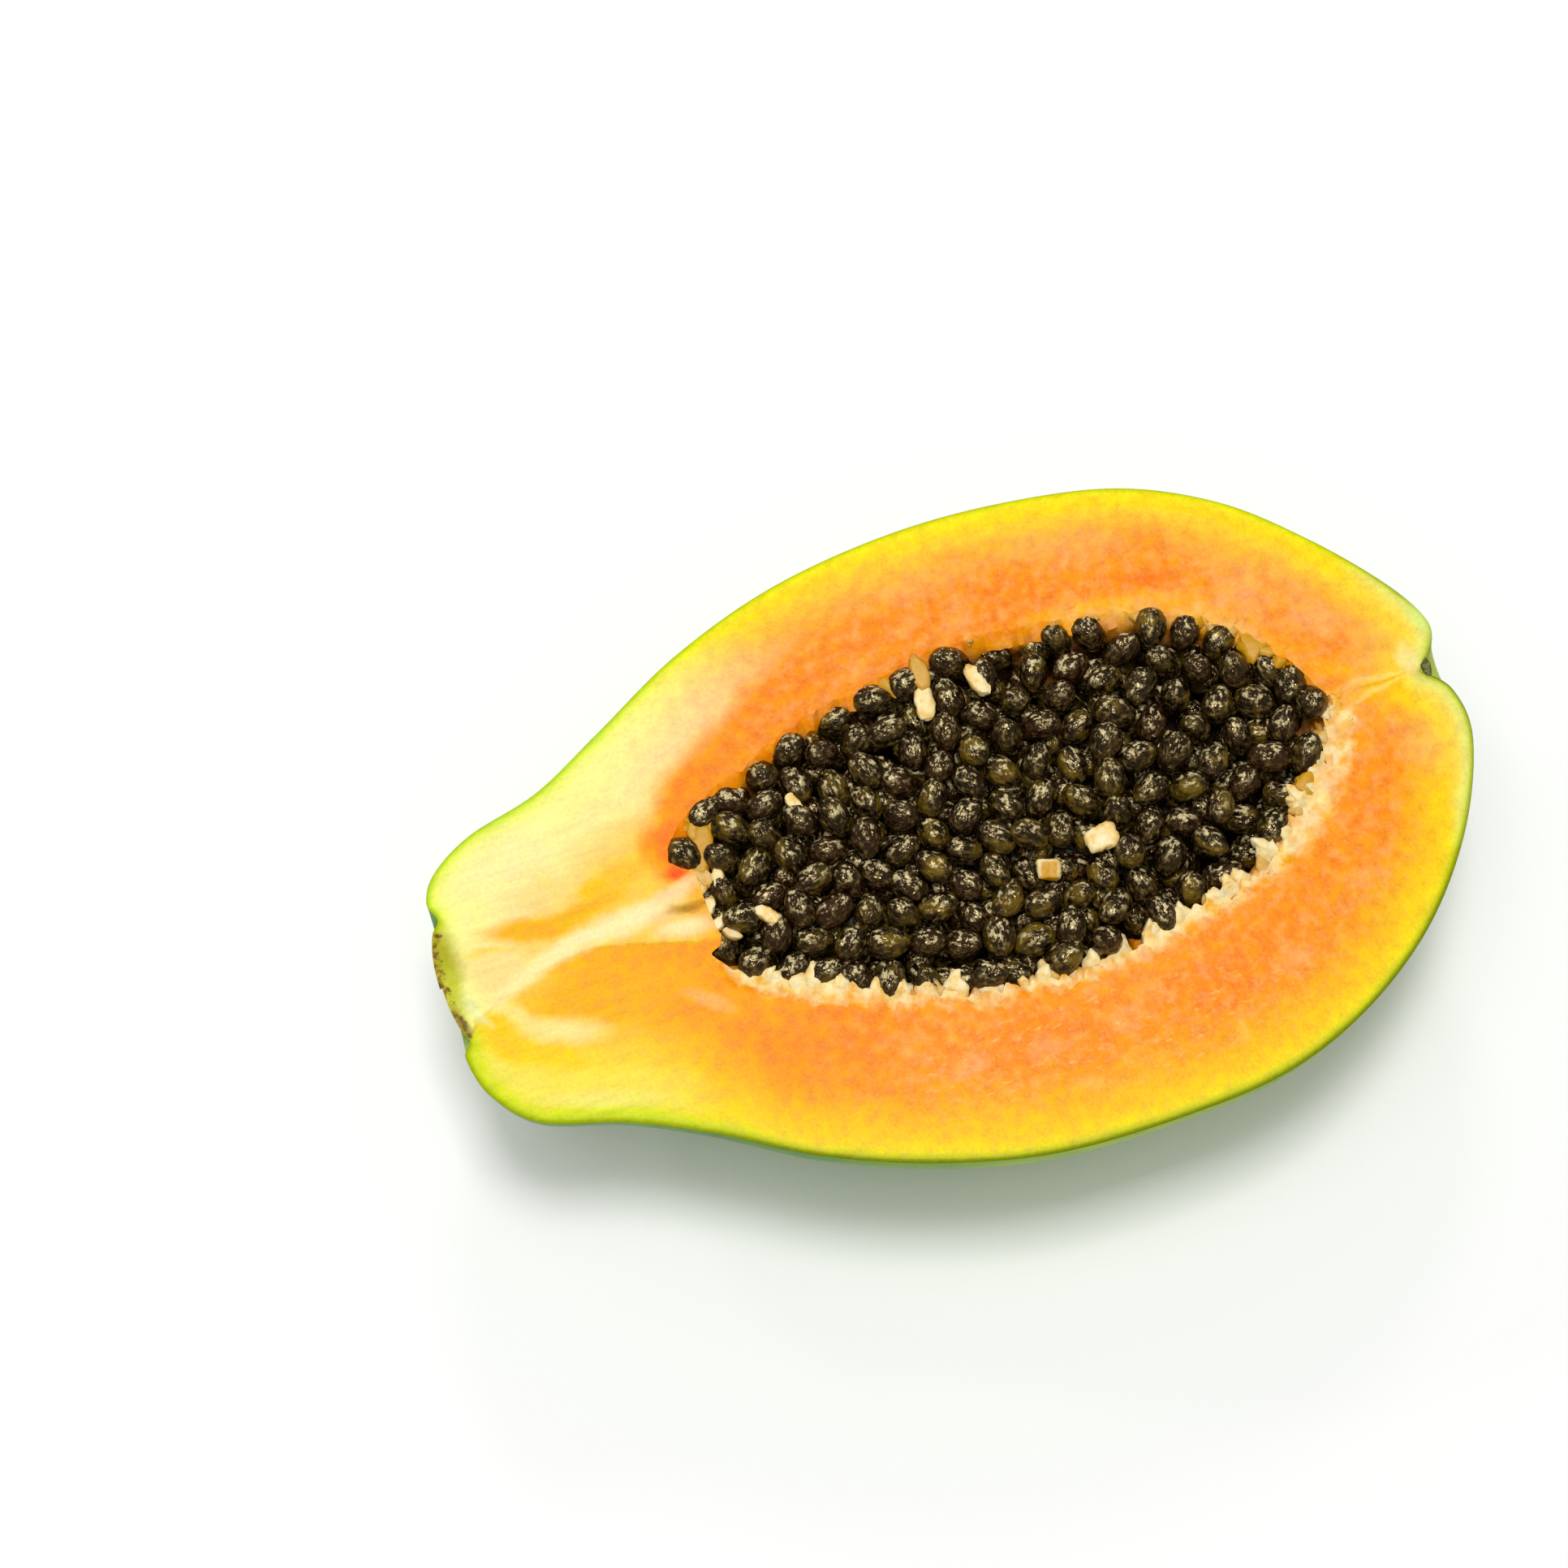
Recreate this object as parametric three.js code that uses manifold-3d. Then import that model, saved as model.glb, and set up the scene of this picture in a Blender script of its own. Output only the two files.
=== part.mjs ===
// Half a papaya, cut lengthwise and lying on its back with the cut face up and level.
// Lengths are in millimetres, +Z is up and +X runs from the stem end to the blossom end.
// The whole fruit is grown first, then a knife, the hollow and the flat of the belly are
// taken from it, as in a kitchen. The seeds crowd the hollow and settle against each other.

import * as THREE from 'three';
import { ParametricGeometry } from 'three/addons/geometries/ParametricGeometry.js';
import { mergeVertices } from 'three/addons/utils/BufferGeometryUtils.js';
import Module from 'manifold-3d';

const wasm = await Module();
wasm.setup();

// The two sides of the cut face, from the middle of the stem scar to the blossom tip.
// Point n of one side faces point n of the other, and the skin turns from one to the other.
const FRUIT_FAR_SIDE = [
  [-1.2, 0], [-0.9, 4.5], [0.2, 8.6], [1.7, 10.6], [0.8, 13.8], [3.4, 18.0], [10.5, 22.1],
  [22.5, 25.4], [34.5, 31.6], [50.0, 39.8], [68.0, 45.8], [88.0, 48.4], [107.0, 47.8],
  [126.0, 44.3], [141.0, 36.8], [152.5, 26.4], [161.5, 15.6], [165.6, 8.0], [164.8, 3.4],
  [161.5, 0],
];
const FRUIT_NEAR_SIDE = [
  [-1.2, 0], [-1.0, -4.0], [-0.3, -7.4], [0.5, -9.4], [-0.6, -11.8], [1.2, -18.2], [7.2, -24.7],
  [20.0, -29.0], [32.0, -34.8], [47.0, -43.6], [64.0, -50.4], [82.0, -54.6], [102.0, -55.3],
  [119.0, -53.9], [134.0, -48.6], [148.0, -39.3], [159.0, -26.6], [165.6, -13.0], [165.4, -4.4],
  [161.5, 0],
];
const FRUIT_DEPTH = 0.97; // the belly is this share of the half width deep, below the knife
const LOBES = 5; // a papaya grows from five carpels
const LOBE_RISE = 0.01; // a lobe stands out by this share of the half width
const FLAT_HEIGHT = 0.9; // height of belly that lies pressed flat where the half rests
const FRUIT_ALONG = 44; // facets along the fruit, and round it
const FRUIT_AROUND = 40;

// The two sides of the seed hollow, in the same order.
const HOLLOW_FAR_SIDE = [
  [38.2, 0], [38.8, 8.4], [44.0, 14.6], [53.5, 18.8], [66.0, 23.8], [79.0, 26.0], [92.0, 27.9],
  [106.0, 27.0], [120.0, 24.4], [131.0, 20.0], [138.2, 14.2], [142.4, 8.2], [146.8, 0],
];
const HOLLOW_NEAR_SIDE = [
  [38.2, 0], [39.4, -6.6], [45.0, -12.6], [54.6, -18.2], [66.4, -23.0], [79.0, -26.8],
  [92.6, -28.3], [106.0, -27.0], [118.6, -24.4], [129.2, -20.2], [136.8, -14.4], [142.6, -7.4],
  [146.8, 0],
];
const HOLLOW_DEPTH = 0.92; // share of its half width, below the knife
const HOLLOW_ALONG = 30;
const HOLLOW_AROUND = 32;
const RIM_STEPS = 60; // steps along each side, for the question of how near the wall is
const LINING_GAP = 0.5; // clear space between the wall of the hollow and the seeds

// Torn tufts of the pale lining, round the near side of the rim.
const TUFTS = 26;
const TUFT_START = 0.2; // along the near side of the hollow, from 0 at the stem end
const TUFT_END = 0.94;
const TUFT_LENGTH = [2.2, 4.4];
const TUFT_RADIUS = [1.3, 2.3];
const TUFT_TIP = 0.35; // radius at the tip, as a share of the radius at the root
const TUFT_LEAN = 0.35; // to either side, in radians
const TUFT_ROOT = 2.2; // how far the root is sunk into the flesh
const TUFT_DIP = 1.3; // the middle of a tuft lies this far below the cut face
const TUFT_SIDES = 5;
const CLEARANCE = 0.35; // between the seeds and what lies among them

// Seeds, with their jelly coats on.
const SEEDS = 150;
const SEED_LENGTH = 6.6;
const SEED_WIDTH = 4.9;
const SEED_TAPER = 0.16; // one end is thicker than the middle by this share, the other thinner
const SEED_SIDES = 6;
const SEED_ROWS = 3;
const SEED_SPACING = 6.1; // nearer than this, two seeds push each other away
const SETTLE_ROUNDS = 90;
const SETTLE_SHARE = 0.22; // of the overlap of two seeds that each one gives way by in a round
const WALL_MARGIN = 2.5; // from the rim of the hollow to the middle of a seed
const PILE_RIM_TOP = -0.9; // highest middle of a seed at the rim of the hollow
const PILE_CROWN = 1.0; // how much higher the pile is in its middle
const CROWN_RUN = 16; // distance from the rim over which it rises so much
const PILE_UNEVEN = 2.5; // the lowest seeds of the top layer lie this much deeper
const BED_TOP = -1.9; // the seeds further down are one level bed up to here
const ROOM_HEIGHT = 12; // above the cut face, seeds stay inside the rim up to here
const ROOM_LAP = 0.5;
const RANDOM_START = 20261;

// Scraps of torn lining and undeveloped seeds, pale, on the pile: x, y, length, width, turn.
const SCRAPS = {
  scrap_lobed: [104.3, -9.8, 6.6, 4.8, 0.1],
  scrap_square: [94.7, -12.0, 5.2, 4.0, -0.3],
  scrap_left: [50.8, -5.1, 5.8, 2.8, -0.86],
  scrap_thin: [60.3, 10.6, 4.4, 2.2, -1.28],
  scrap_far: [85.2, 19.8, 7.0, 3.6, 1.45],
};
const SCRAP_THICKNESS = 2.4;
const SCRAP_LIFT = 1.1; // a scrap's middle above the middle of the highest seed under it
const MERGE_DISTANCE = 1e-4; // corners nearer than this are one corner

function between(low, high, share) {
  return low + (high - low) * share;
}

// Repeatable random numbers from 0 to 1, by a 32-bit congruential step.
let randomState = RANDOM_START;
function random() {
  randomState = (Math.imul(randomState, 1664525) + 1013904223) >>> 0;
  return randomState / 2 ** 32;
}

function sideCurve(points) {
  return new THREE.SplineCurve(points.map(([x, y]) => new THREE.Vector2(x, y)));
}

// A closed skin spun between two side curves: v goes round, from the far side, down through
// the belly to the near side and up over the top.
function spunGeometry({ farSide, nearSide, depth, lobeRise, along, around }) {
  const far = sideCurve(farSide);
  const near = sideCurve(nearSide);
  return new ParametricGeometry((u, v, target) => {
    const a = far.getPoint(u);
    const b = near.getPoint(u);
    const turn = v * 2 * Math.PI;
    const lobe = 1 + lobeRise * Math.sin(LOBES * turn) * Math.sin(Math.PI * u);
    const halfWidth = ((a.y - b.y) / 2) * lobe;
    target.set(
      between(b.x, a.x, (1 + Math.cos(turn)) / 2),
      (a.y + b.y) / 2 + halfWidth * Math.cos(turn),
      -halfWidth * depth * Math.sin(turn),
    );
  }, along, around);
}

function hollowGeometry() {
  return spunGeometry({
    farSide: HOLLOW_FAR_SIDE,
    nearSide: HOLLOW_NEAR_SIDE,
    depth: HOLLOW_DEPTH,
    lobeRise: 0,
    along: HOLLOW_ALONG,
    around: HOLLOW_AROUND,
  });
}

// The same shape, smaller about its middle: by a gap on every side in plan, and below.
function shrunk(geometry, gap, gapBelow) {
  geometry.computeBoundingBox();
  const middle = geometry.boundingBox.getCenter(new THREE.Vector3());
  const size = geometry.boundingBox.getSize(new THREE.Vector3());
  geometry.translate(-middle.x, -middle.y, 0);
  geometry.scale(1 - (2 * gap) / size.x, 1 - (2 * gap) / size.y, 1 - (2 * gapBelow) / size.z);
  geometry.translate(middle.x, middle.y, 0);
  return geometry;
}

function manifoldOf(corners, faces) {
  return new wasm.Manifold(new wasm.Mesh({
    numProp: 3,
    vertProperties: new Float32Array(corners),
    triVerts: new Uint32Array(faces),
  }));
}

// A closed three.js geometry as a solid that can be joined and cut, its faces turned outward.
function solid(geometry) {
  const bare = new THREE.BufferGeometry();
  bare.setAttribute('position', geometry.getAttribute('position'));
  bare.setIndex(geometry.getIndex());
  const merged = mergeVertices(bare, MERGE_DISTANCE);
  const index = merged.getIndex().array;
  const faces = [];
  for (let i = 0; i < index.length; i += 3) {
    const [a, b, c] = index.subarray(i, i + 3);
    if (a !== b && b !== c && c !== a) faces.push(a, b, c);
  }
  const corners = merged.getAttribute('position').array;
  const made = manifoldOf(corners, faces);
  return made.volume() > 0 ? made : manifoldOf(corners, faces.reverse());
}

function geometryOf(manifold) {
  const { vertProperties, triVerts } = manifold.getMesh();
  const geometry = new THREE.BufferGeometry();
  geometry.setAttribute('position', new THREE.BufferAttribute(new Float32Array(vertProperties), 3));
  geometry.setIndex(new THREE.BufferAttribute(new Uint32Array(triVerts), 1));
  geometry.computeVertexNormals();
  return geometry;
}

// The biggest body of a fused mass, with what it seals inside filled in and loose bits dropped.
function oneBody(manifold) {
  return manifold.decompose().reduce((best, body) => (body.volume() > best.volume() ? body : best));
}

function box([lowX, lowY, lowZ], [highX, highY, highZ]) {
  const geometry = new THREE.BoxGeometry(highX - lowX, highY - lowY, highZ - lowZ);
  geometry.translate((lowX + highX) / 2, (lowY + highY) / 2, (lowZ + highZ) / 2);
  return solid(geometry);
}

// The rim of the hollow as a dense outline.
const hollowFar = sideCurve(HOLLOW_FAR_SIDE);
const hollowNear = sideCurve(HOLLOW_NEAR_SIDE);
const rim = [
  ...Array.from({ length: RIM_STEPS }, (_, i) => hollowFar.getPoint(i / RIM_STEPS)),
  ...Array.from({ length: RIM_STEPS }, (_, i) => hollowNear.getPoint(1 - i / RIM_STEPS)),
];
const rimBox = new THREE.Box2().setFromPoints(rim);

// Distance from a point to the rim: positive inside the hollow, negative outside.
function insideBy(x, y) {
  let nearest = Infinity;
  let inside = false;
  rim.forEach((a, i) => {
    const b = rim[(i + 1) % rim.length];
    const along = ((x - a.x) * (b.x - a.x) + (y - a.y) * (b.y - a.y))
      / ((b.x - a.x) ** 2 + (b.y - a.y) ** 2);
    const share = Math.min(1, Math.max(0, along));
    nearest = Math.min(nearest, Math.hypot(x - between(a.x, b.x, share), y - between(a.y, b.y, share)));
    if (a.y > y !== b.y > y && x < a.x + ((y - a.y) / (b.y - a.y)) * (b.x - a.x)) inside = !inside;
  });
  return inside ? nearest : -nearest;
}

// What is drawn at random for each tuft, in their order along the rim.
function drawTufts() {
  return Array.from({ length: TUFTS }, (_, i) => ({
    along: between(TUFT_START, TUFT_END, (i + random()) / TUFTS),
    length: between(...TUFT_LENGTH, random()),
    radius: between(...TUFT_RADIUS, random()),
    lean: between(-TUFT_LEAN, TUFT_LEAN, random()),
  }));
}

// A tuft at its place on the rim: a blunt cone whose root is inside the flesh.
function tuftSolid(tuft, grow) {
  const root = hollowNear.getPoint(tuft.along);
  const tangent = hollowNear.getTangent(tuft.along);
  const radius = tuft.radius + grow;
  const length = tuft.length + TUFT_ROOT + grow;
  const geometry = new THREE.CylinderGeometry(radius * TUFT_TIP, radius, length, TUFT_SIDES);
  geometry.translate(0, length / 2 - TUFT_ROOT, 0);
  geometry.rotateZ(Math.atan2(tangent.y, tangent.x) + tuft.lean);
  geometry.translate(root.x, root.y, -TUFT_DIP);
  return solid(geometry);
}

// Seeds thrown in at random push each other away until they lie evenly crowded.
function settled(thrown) {
  let seeds = thrown;
  for (let round = 0; round < SETTLE_ROUNDS; round += 1) {
    seeds = seeds.map((seed) => {
      let { x, y } = seed;
      for (const other of seeds) {
        const apart = Math.hypot(seed.x - other.x, seed.y - other.y);
        if (apart === 0 || apart >= SEED_SPACING) continue;
        const push = (SETTLE_SHARE * (SEED_SPACING - apart)) / apart;
        x += push * (seed.x - other.x);
        y += push * (seed.y - other.y);
      }
      return insideBy(x, y) < WALL_MARGIN ? seed : { ...seed, x, y };
    });
  }
  return seeds;
}

// The top layer of seeds: a place and a height in the pile for each, and how it is turned.
function pileSeeds() {
  const thrown = [];
  while (thrown.length < SEEDS) {
    const x = between(rimBox.min.x, rimBox.max.x, random());
    const y = between(rimBox.min.y, rimBox.max.y, random());
    if (insideBy(x, y) >= WALL_MARGIN) thrown.push({ x, y });
  }
  return settled(thrown).map(({ x, y }) => {
    const crown = PILE_CROWN * Math.min(1, insideBy(x, y) / CROWN_RUN);
    const z = PILE_RIM_TOP + crown - PILE_UNEVEN * random();
    return { x, y, z, spin: [random(), random(), random()] };
  });
}

// A uniform random turn from three random numbers.
function randomTurn([a, b, c]) {
  const low = Math.sqrt(1 - a);
  const high = Math.sqrt(a);
  return new THREE.Quaternion(
    low * Math.sin(2 * Math.PI * b),
    low * Math.cos(2 * Math.PI * b),
    high * Math.sin(2 * Math.PI * c),
    high * Math.cos(2 * Math.PI * c),
  );
}

// A few facets make a seed, so they are spread until their widest ring has the seed's width.
function seedSolid(seed) {
  const geometry = new THREE.SphereGeometry(0.5, SEED_SIDES, SEED_ROWS);
  const position = geometry.getAttribute('position');
  const spread = SEED_WIDTH / Math.sin(Math.PI / SEED_ROWS);
  for (let i = 0; i < position.count; i += 1) {
    const width = spread * (1 - 2 * SEED_TAPER * position.getY(i));
    position.setXYZ(
      i,
      width * position.getX(i),
      SEED_LENGTH * position.getY(i),
      width * position.getZ(i),
    );
  }
  geometry.applyQuaternion(randomTurn(seed.spin));
  geometry.translate(seed.x, seed.y, seed.z);
  return solid(geometry);
}

// The space that seeds may take: the hollow, and straight up from its rim.
function seedRoom() {
  const below = shrunk(hollowGeometry(), LINING_GAP, LINING_GAP);
  const above = new THREE.ExtrudeGeometry(new THREE.Shape(rim), {
    depth: ROOM_HEIGHT + ROOM_LAP,
    bevelEnabled: false,
  });
  above.translate(0, 0, -ROOM_LAP);
  return solid(below).add(solid(shrunk(above, LINING_GAP, 0)));
}

function seedsSolid(seeds, tufts) {
  const room = seedRoom();
  const { min, max } = room.boundingBox();
  const overBed = box([min[0] - 1, min[1] - 1, BED_TOP], [max[0] + 1, max[1] + 1, max[2] + 1]);
  const amongThem = [
    ...tufts.map((tuft) => tuftSolid(tuft, CLEARANCE)),
    ...Object.values(SCRAPS).map((scrap) => scrapSolid(scrap, seeds, CLEARANCE)),
  ];
  return oneBody(
    wasm.Manifold.union([room.subtract(overBed), ...seeds.map(seedSolid)])
      .intersect(room)
      .subtract(wasm.Manifold.union(amongThem)),
  );
}

function scrapSolid([x, y, length, width, turn], seeds, grow) {
  const under = seeds.filter((seed) => Math.hypot(seed.x - x, seed.y - y) < SEED_WIDTH);
  const height = Math.max(...under.map((seed) => seed.z)) + SCRAP_LIFT;
  const geometry = new THREE.IcosahedronGeometry(0.5, 0);
  geometry.scale(length + 2 * grow, width + 2 * grow, SCRAP_THICKNESS + 2 * grow);
  geometry.rotateZ(turn);
  geometry.translate(x, y, height);
  return solid(geometry);
}

function fruitSolid(tufts) {
  const whole = solid(spunGeometry({
    farSide: FRUIT_FAR_SIDE,
    nearSide: FRUIT_NEAR_SIDE,
    depth: FRUIT_DEPTH,
    lobeRise: LOBE_RISE,
    along: FRUIT_ALONG,
    around: FRUIT_AROUND,
  }));
  const { min, max } = whole.boundingBox();
  const upperHalf = box([min[0] - 1, min[1] - 1, 0], [max[0] + 1, max[1] + 1, max[2] + 1]);
  const pressedFlat = box(
    [min[0] - 1, min[1] - 1, min[2] - 1],
    [max[0] + 1, max[1] + 1, min[2] + FLAT_HEIGHT],
  );
  return oneBody(
    whole.subtract(solid(hollowGeometry()))
      .add(wasm.Manifold.union(tufts.map((tuft) => tuftSolid(tuft, 0))))
      .subtract(upperHalf)
      .subtract(pressedFlat),
  );
}

const flesh = new THREE.MeshStandardMaterial({ color: '#f08a2c', roughness: 0.42, metalness: 0 });
const seedCoat = new THREE.MeshStandardMaterial({ color: '#2b2419', roughness: 0.22, metalness: 0 });
const paleLining = new THREE.MeshStandardMaterial({ color: '#e9cf86', roughness: 0.5, metalness: 0 });

function named(name, manifold, material) {
  const mesh = new THREE.Mesh(geometryOf(manifold), material);
  mesh.name = name;
  return mesh;
}

const tufts = drawTufts();
const seeds = pileSeeds();
const papayaHalf = new THREE.Group();
papayaHalf.add(named('fruit_half', fruitSolid(tufts), flesh));
papayaHalf.add(named('seed_pile', seedsSolid(seeds, tufts), seedCoat));
for (const [name, scrap] of Object.entries(SCRAPS)) {
  papayaHalf.add(named(name, scrapSolid(scrap, seeds, 0), paleLining));
}

// The origin is under the middle of the object, on the surface that it lies on.
const bounds = new THREE.Box3().setFromObject(papayaHalf);
const middle = bounds.getCenter(new THREE.Vector3());
papayaHalf.position.set(-middle.x, -middle.y, -bounds.min.z);

export default papayaHalf;
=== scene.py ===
# %% [markdown]
# Half a papaya
#
# This lesson dresses half a papaya for a picture. The fruit was cut lengthwise and lies on its
# back with the cut face up. The solid model is there already, so most pieces here take the
# place of one of its solids, in the same frame, and bring the finish that the solid lacks. The
# others add what is too fine for a solid.

# %% Load the solid model
import math
from functools import partial

import bpy
import numpy as np
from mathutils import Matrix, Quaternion, Vector, noise


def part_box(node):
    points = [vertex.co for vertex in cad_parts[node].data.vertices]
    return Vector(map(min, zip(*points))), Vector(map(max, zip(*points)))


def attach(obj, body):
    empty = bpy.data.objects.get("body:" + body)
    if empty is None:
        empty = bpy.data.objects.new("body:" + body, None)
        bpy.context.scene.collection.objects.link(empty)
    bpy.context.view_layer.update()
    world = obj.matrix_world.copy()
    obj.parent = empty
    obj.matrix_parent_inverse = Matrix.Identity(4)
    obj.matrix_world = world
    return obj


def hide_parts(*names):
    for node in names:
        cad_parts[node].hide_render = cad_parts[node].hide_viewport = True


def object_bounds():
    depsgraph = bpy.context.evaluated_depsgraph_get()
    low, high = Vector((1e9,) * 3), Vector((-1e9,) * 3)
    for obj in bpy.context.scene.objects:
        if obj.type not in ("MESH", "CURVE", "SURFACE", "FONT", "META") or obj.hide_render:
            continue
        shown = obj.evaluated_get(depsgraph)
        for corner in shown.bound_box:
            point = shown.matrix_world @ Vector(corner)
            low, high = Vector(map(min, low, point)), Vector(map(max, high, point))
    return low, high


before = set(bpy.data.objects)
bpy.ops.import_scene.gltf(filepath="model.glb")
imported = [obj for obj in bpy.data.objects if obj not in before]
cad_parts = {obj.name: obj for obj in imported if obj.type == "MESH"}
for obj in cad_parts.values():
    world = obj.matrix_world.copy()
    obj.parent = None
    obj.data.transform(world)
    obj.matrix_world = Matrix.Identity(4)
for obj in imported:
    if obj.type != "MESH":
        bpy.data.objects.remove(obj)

cad_box = [list(corner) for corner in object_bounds()]
bpy.ops.object.select_all(action="DESELECT")
print("solid model, in metres:", [round(b - a, 4) for a, b in zip(*cad_box)])

# %% [markdown]
# The two sides of the cut
#
# A knife leaves a flat face whose outline is the fruit's own. It could be drawn as a curve and
# filled, but the same two lines also shape the belly, so they are kept as points, in
# millimetres: x runs from the stem end to the blossom end, y to the far side, and the cut is
# z = 0. Point n of one side faces point n of the other.

# %% Outlines of the fruit and of its seed hollow
FRUIT_FAR_SIDE = [
    (-1.2, 0), (-0.9, 4.5), (0.2, 8.6), (1.7, 10.6), (0.8, 13.8), (3.4, 18), (10.5, 22.1),
    (22.5, 25.4), (34.5, 31.6), (50, 39.8), (68, 45.8), (88, 48.4), (107, 47.8), (126, 44.3),
    (141, 36.8), (152.5, 26.4), (161.5, 15.6), (165.6, 8), (164.8, 3.4), (161.5, 0),
]
FRUIT_NEAR_SIDE = [
    (-1.2, 0), (-1, -4), (-0.3, -7.4), (0.5, -9.4), (-0.6, -11.8), (1.2, -18.2), (7.2, -24.7),
    (20, -29), (32, -34.8), (47, -43.6), (64, -50.4), (82, -54.6), (102, -55.3), (119, -53.9),
    (134, -48.6), (148, -39.3), (159, -26.6), (165.6, -13), (165.4, -4.4), (161.5, 0),
]
HOLLOW_FAR_SIDE = [
    (38.2, 0), (38.8, 8.4), (44, 14.6), (53.5, 18.8), (66, 23.8), (79, 26), (92, 27.9), (106, 27),
    (120, 24.4), (131, 20), (138.2, 14.2), (142.4, 8.2), (146.8, 0),
]
HOLLOW_NEAR_SIDE = [
    (38.2, 0), (39.4, -6.6), (45, -12.6), (54.6, -18.2), (66.4, -23), (79, -26.8), (92.6, -28.3),
    (106, -27), (118.6, -24.4), (129.2, -20.2), (136.8, -14.4), (142.6, -7.4), (146.8, 0),
]
FRUIT_DEPTH = 0.97
HOLLOW_DEPTH = 0.92
LOBES = 5
LOBE_RISE = 0.01


def side(points, share):
    """Places on the smooth curve through a side's points, for shares from 0 to 1."""
    points = np.array(points, float)
    place = np.clip(np.asarray(share, float), 0, 1) * (len(points) - 1)
    i = np.minimum(place.astype(int), len(points) - 2)
    w = (place - i)[..., None]
    start, end = points[i], points[i + 1]
    out = (end - points[np.maximum(i - 1, 0)]) / 2
    into = (points[np.minimum(i + 2, len(points) - 1)] - start) / 2
    cubic = 2 * start - 2 * end + out + into
    square = -3 * start + 3 * end - 2 * out - into
    return cubic * w**3 + square * w**2 + out * w + start


def section(far_side, near_side, share, turn, depth, lobe_rise=0.0):
    """Points of a skin spun between two sides: turn 0 is the far side, pi the near side."""
    far, near = side(far_side, share), side(near_side, share)
    half = (far[..., 1] - near[..., 1]) / 2
    half = half * (1 + lobe_rise * np.sin(LOBES * turn) * np.sin(np.pi * share))
    x = near[..., 0] + (far[..., 0] - near[..., 0]) * (1 + np.cos(turn)) / 2
    y = (far[..., 1] + near[..., 1]) / 2 + half * np.cos(turn)
    return np.stack([x, y, -half * depth * np.sin(turn)], axis=-1)


def ring(far_side, near_side, steps):
    """One closed outline, out along the far side and back along the near side."""
    out = np.arange(steps) / steps
    return np.concatenate([side(far_side, out), side(near_side, 1 - out)])


outline = ring(FRUIT_FAR_SIDE, FRUIT_NEAR_SIDE, 260)
rim = ring(HOLLOW_FAR_SIDE, HOLLOW_NEAR_SIDE, 60)
print("cut face, in mm:", np.round(np.ptp(outline, axis=0), 1))

# %% [markdown]
# From the fruit's millimetres to the row
#
# The solid model stands with its origin under its middle, in metres. A shift found by trial
# would drift, so it is worked out from the box of the fruit's solid: the cut face is its top.
# The solid has facets and the real skin is round, so the fine mesh is a hair smaller, and the
# two boxes agree.

# %% Place and size in the row frame
A_HAIR_SMALLER = 0.999

fruit_low, fruit_high = (np.array(corner) * 1000 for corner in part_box("fruit_half"))
outline_low, outline_high = outline.min(axis=0), outline.max(axis=0)
fit = min(1.0, *((fruit_high - fruit_low)[:2] / (outline_high - outline_low))) * A_HAIR_SMALLER
shift = np.append(
    (fruit_low + fruit_high)[:2] / 2 - fit * (outline_low + outline_high) / 2, fruit_high[2]
)
floor_z = -fruit_high[2] / fit


def to_row(points):
    """The fruit's millimetres as metres in the row frame."""
    return (np.asarray(points) * fit + shift) / 1000


print("fit", round(fit, 5), "shift in mm", np.round(shift, 3), "belly", round(floor_z, 2))

# %% [markdown]
# A few tools for meshes
#
# A grid or a ball is added by hand and then takes its shape by moving its corners, which is
# quick in numpy. The distance to an outline is asked often: it tells how deep under the skin,
# or how near the hollow, a point of the flesh is.

# %% Tools for corners, distances and lumps
def corners(mesh):
    flat = np.empty(len(mesh.vertices) * 3)
    mesh.vertices.foreach_get("co", flat)
    return flat.reshape(-1, 3)


def put_corners(mesh, points):
    mesh.vertices.foreach_set("co", np.asarray(points, np.float32).ravel())
    mesh.update()


def put_attribute(mesh, name, values, kind="FLOAT"):
    """A number, or a vector, kept at each corner for the materials to read."""
    layer = mesh.attributes.new(name, kind, "POINT")
    field = "vector" if kind == "FLOAT_VECTOR" else "value"
    layer.data.foreach_set(field, np.asarray(values, np.float32).ravel())


def distance_to(line, points):
    """Distance in plan from each point to a closed outline."""
    start, run = line, np.roll(line, -1, axis=0) - line
    nearest = []
    for some in np.array_split(points[:, :2], max(1, len(points) // 4000)):
        away = some[:, None] - start[None]
        share = np.clip((away * run).sum(-1) / (run * run).sum(-1), 0, 1)
        nearest.append(np.linalg.norm(away - share[..., None] * run, axis=-1).min(axis=1))
    return np.concatenate(nearest)


def inside(line, points):
    """Whether each point lies inside a closed outline, in plan."""
    a, b = line, np.roll(line, -1, axis=0)
    x, y = points[:, 0, None], points[:, 1, None]
    with np.errstate(divide="ignore", invalid="ignore"):
        crossing = a[:, 0] + (y - a[:, 1]) / (b[:, 1] - a[:, 1]) * (b[:, 0] - a[:, 0])
    return (((a[:, 1] > y) != (b[:, 1] > y)) & (x < crossing)).sum(axis=1) % 2 == 1


def smooth(low, high, value):
    """0 below low, 1 above high, and a soft step between."""
    share = np.clip((value - low) / (high - low), 0, 1)
    return share * share * (3 - 2 * share)


def waves(points, size, seed=0.0):
    """Smooth uneven numbers from -1 to 1, whose bumps are about so many millimetres wide."""
    return np.array([noise.noise(Vector(p / size) + Vector((seed, 0, 0))) for p in points])


def lumps(points, size, seed=0.0):
    """Rounded lumps with creases between, from 0 in a crease to 1 on a lump."""
    scaled = [Vector(p / size) + Vector((seed, 0, 0)) for p in points]
    return 1 - np.array([noise.voronoi(p)[0][0] for p in scaled])


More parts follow.
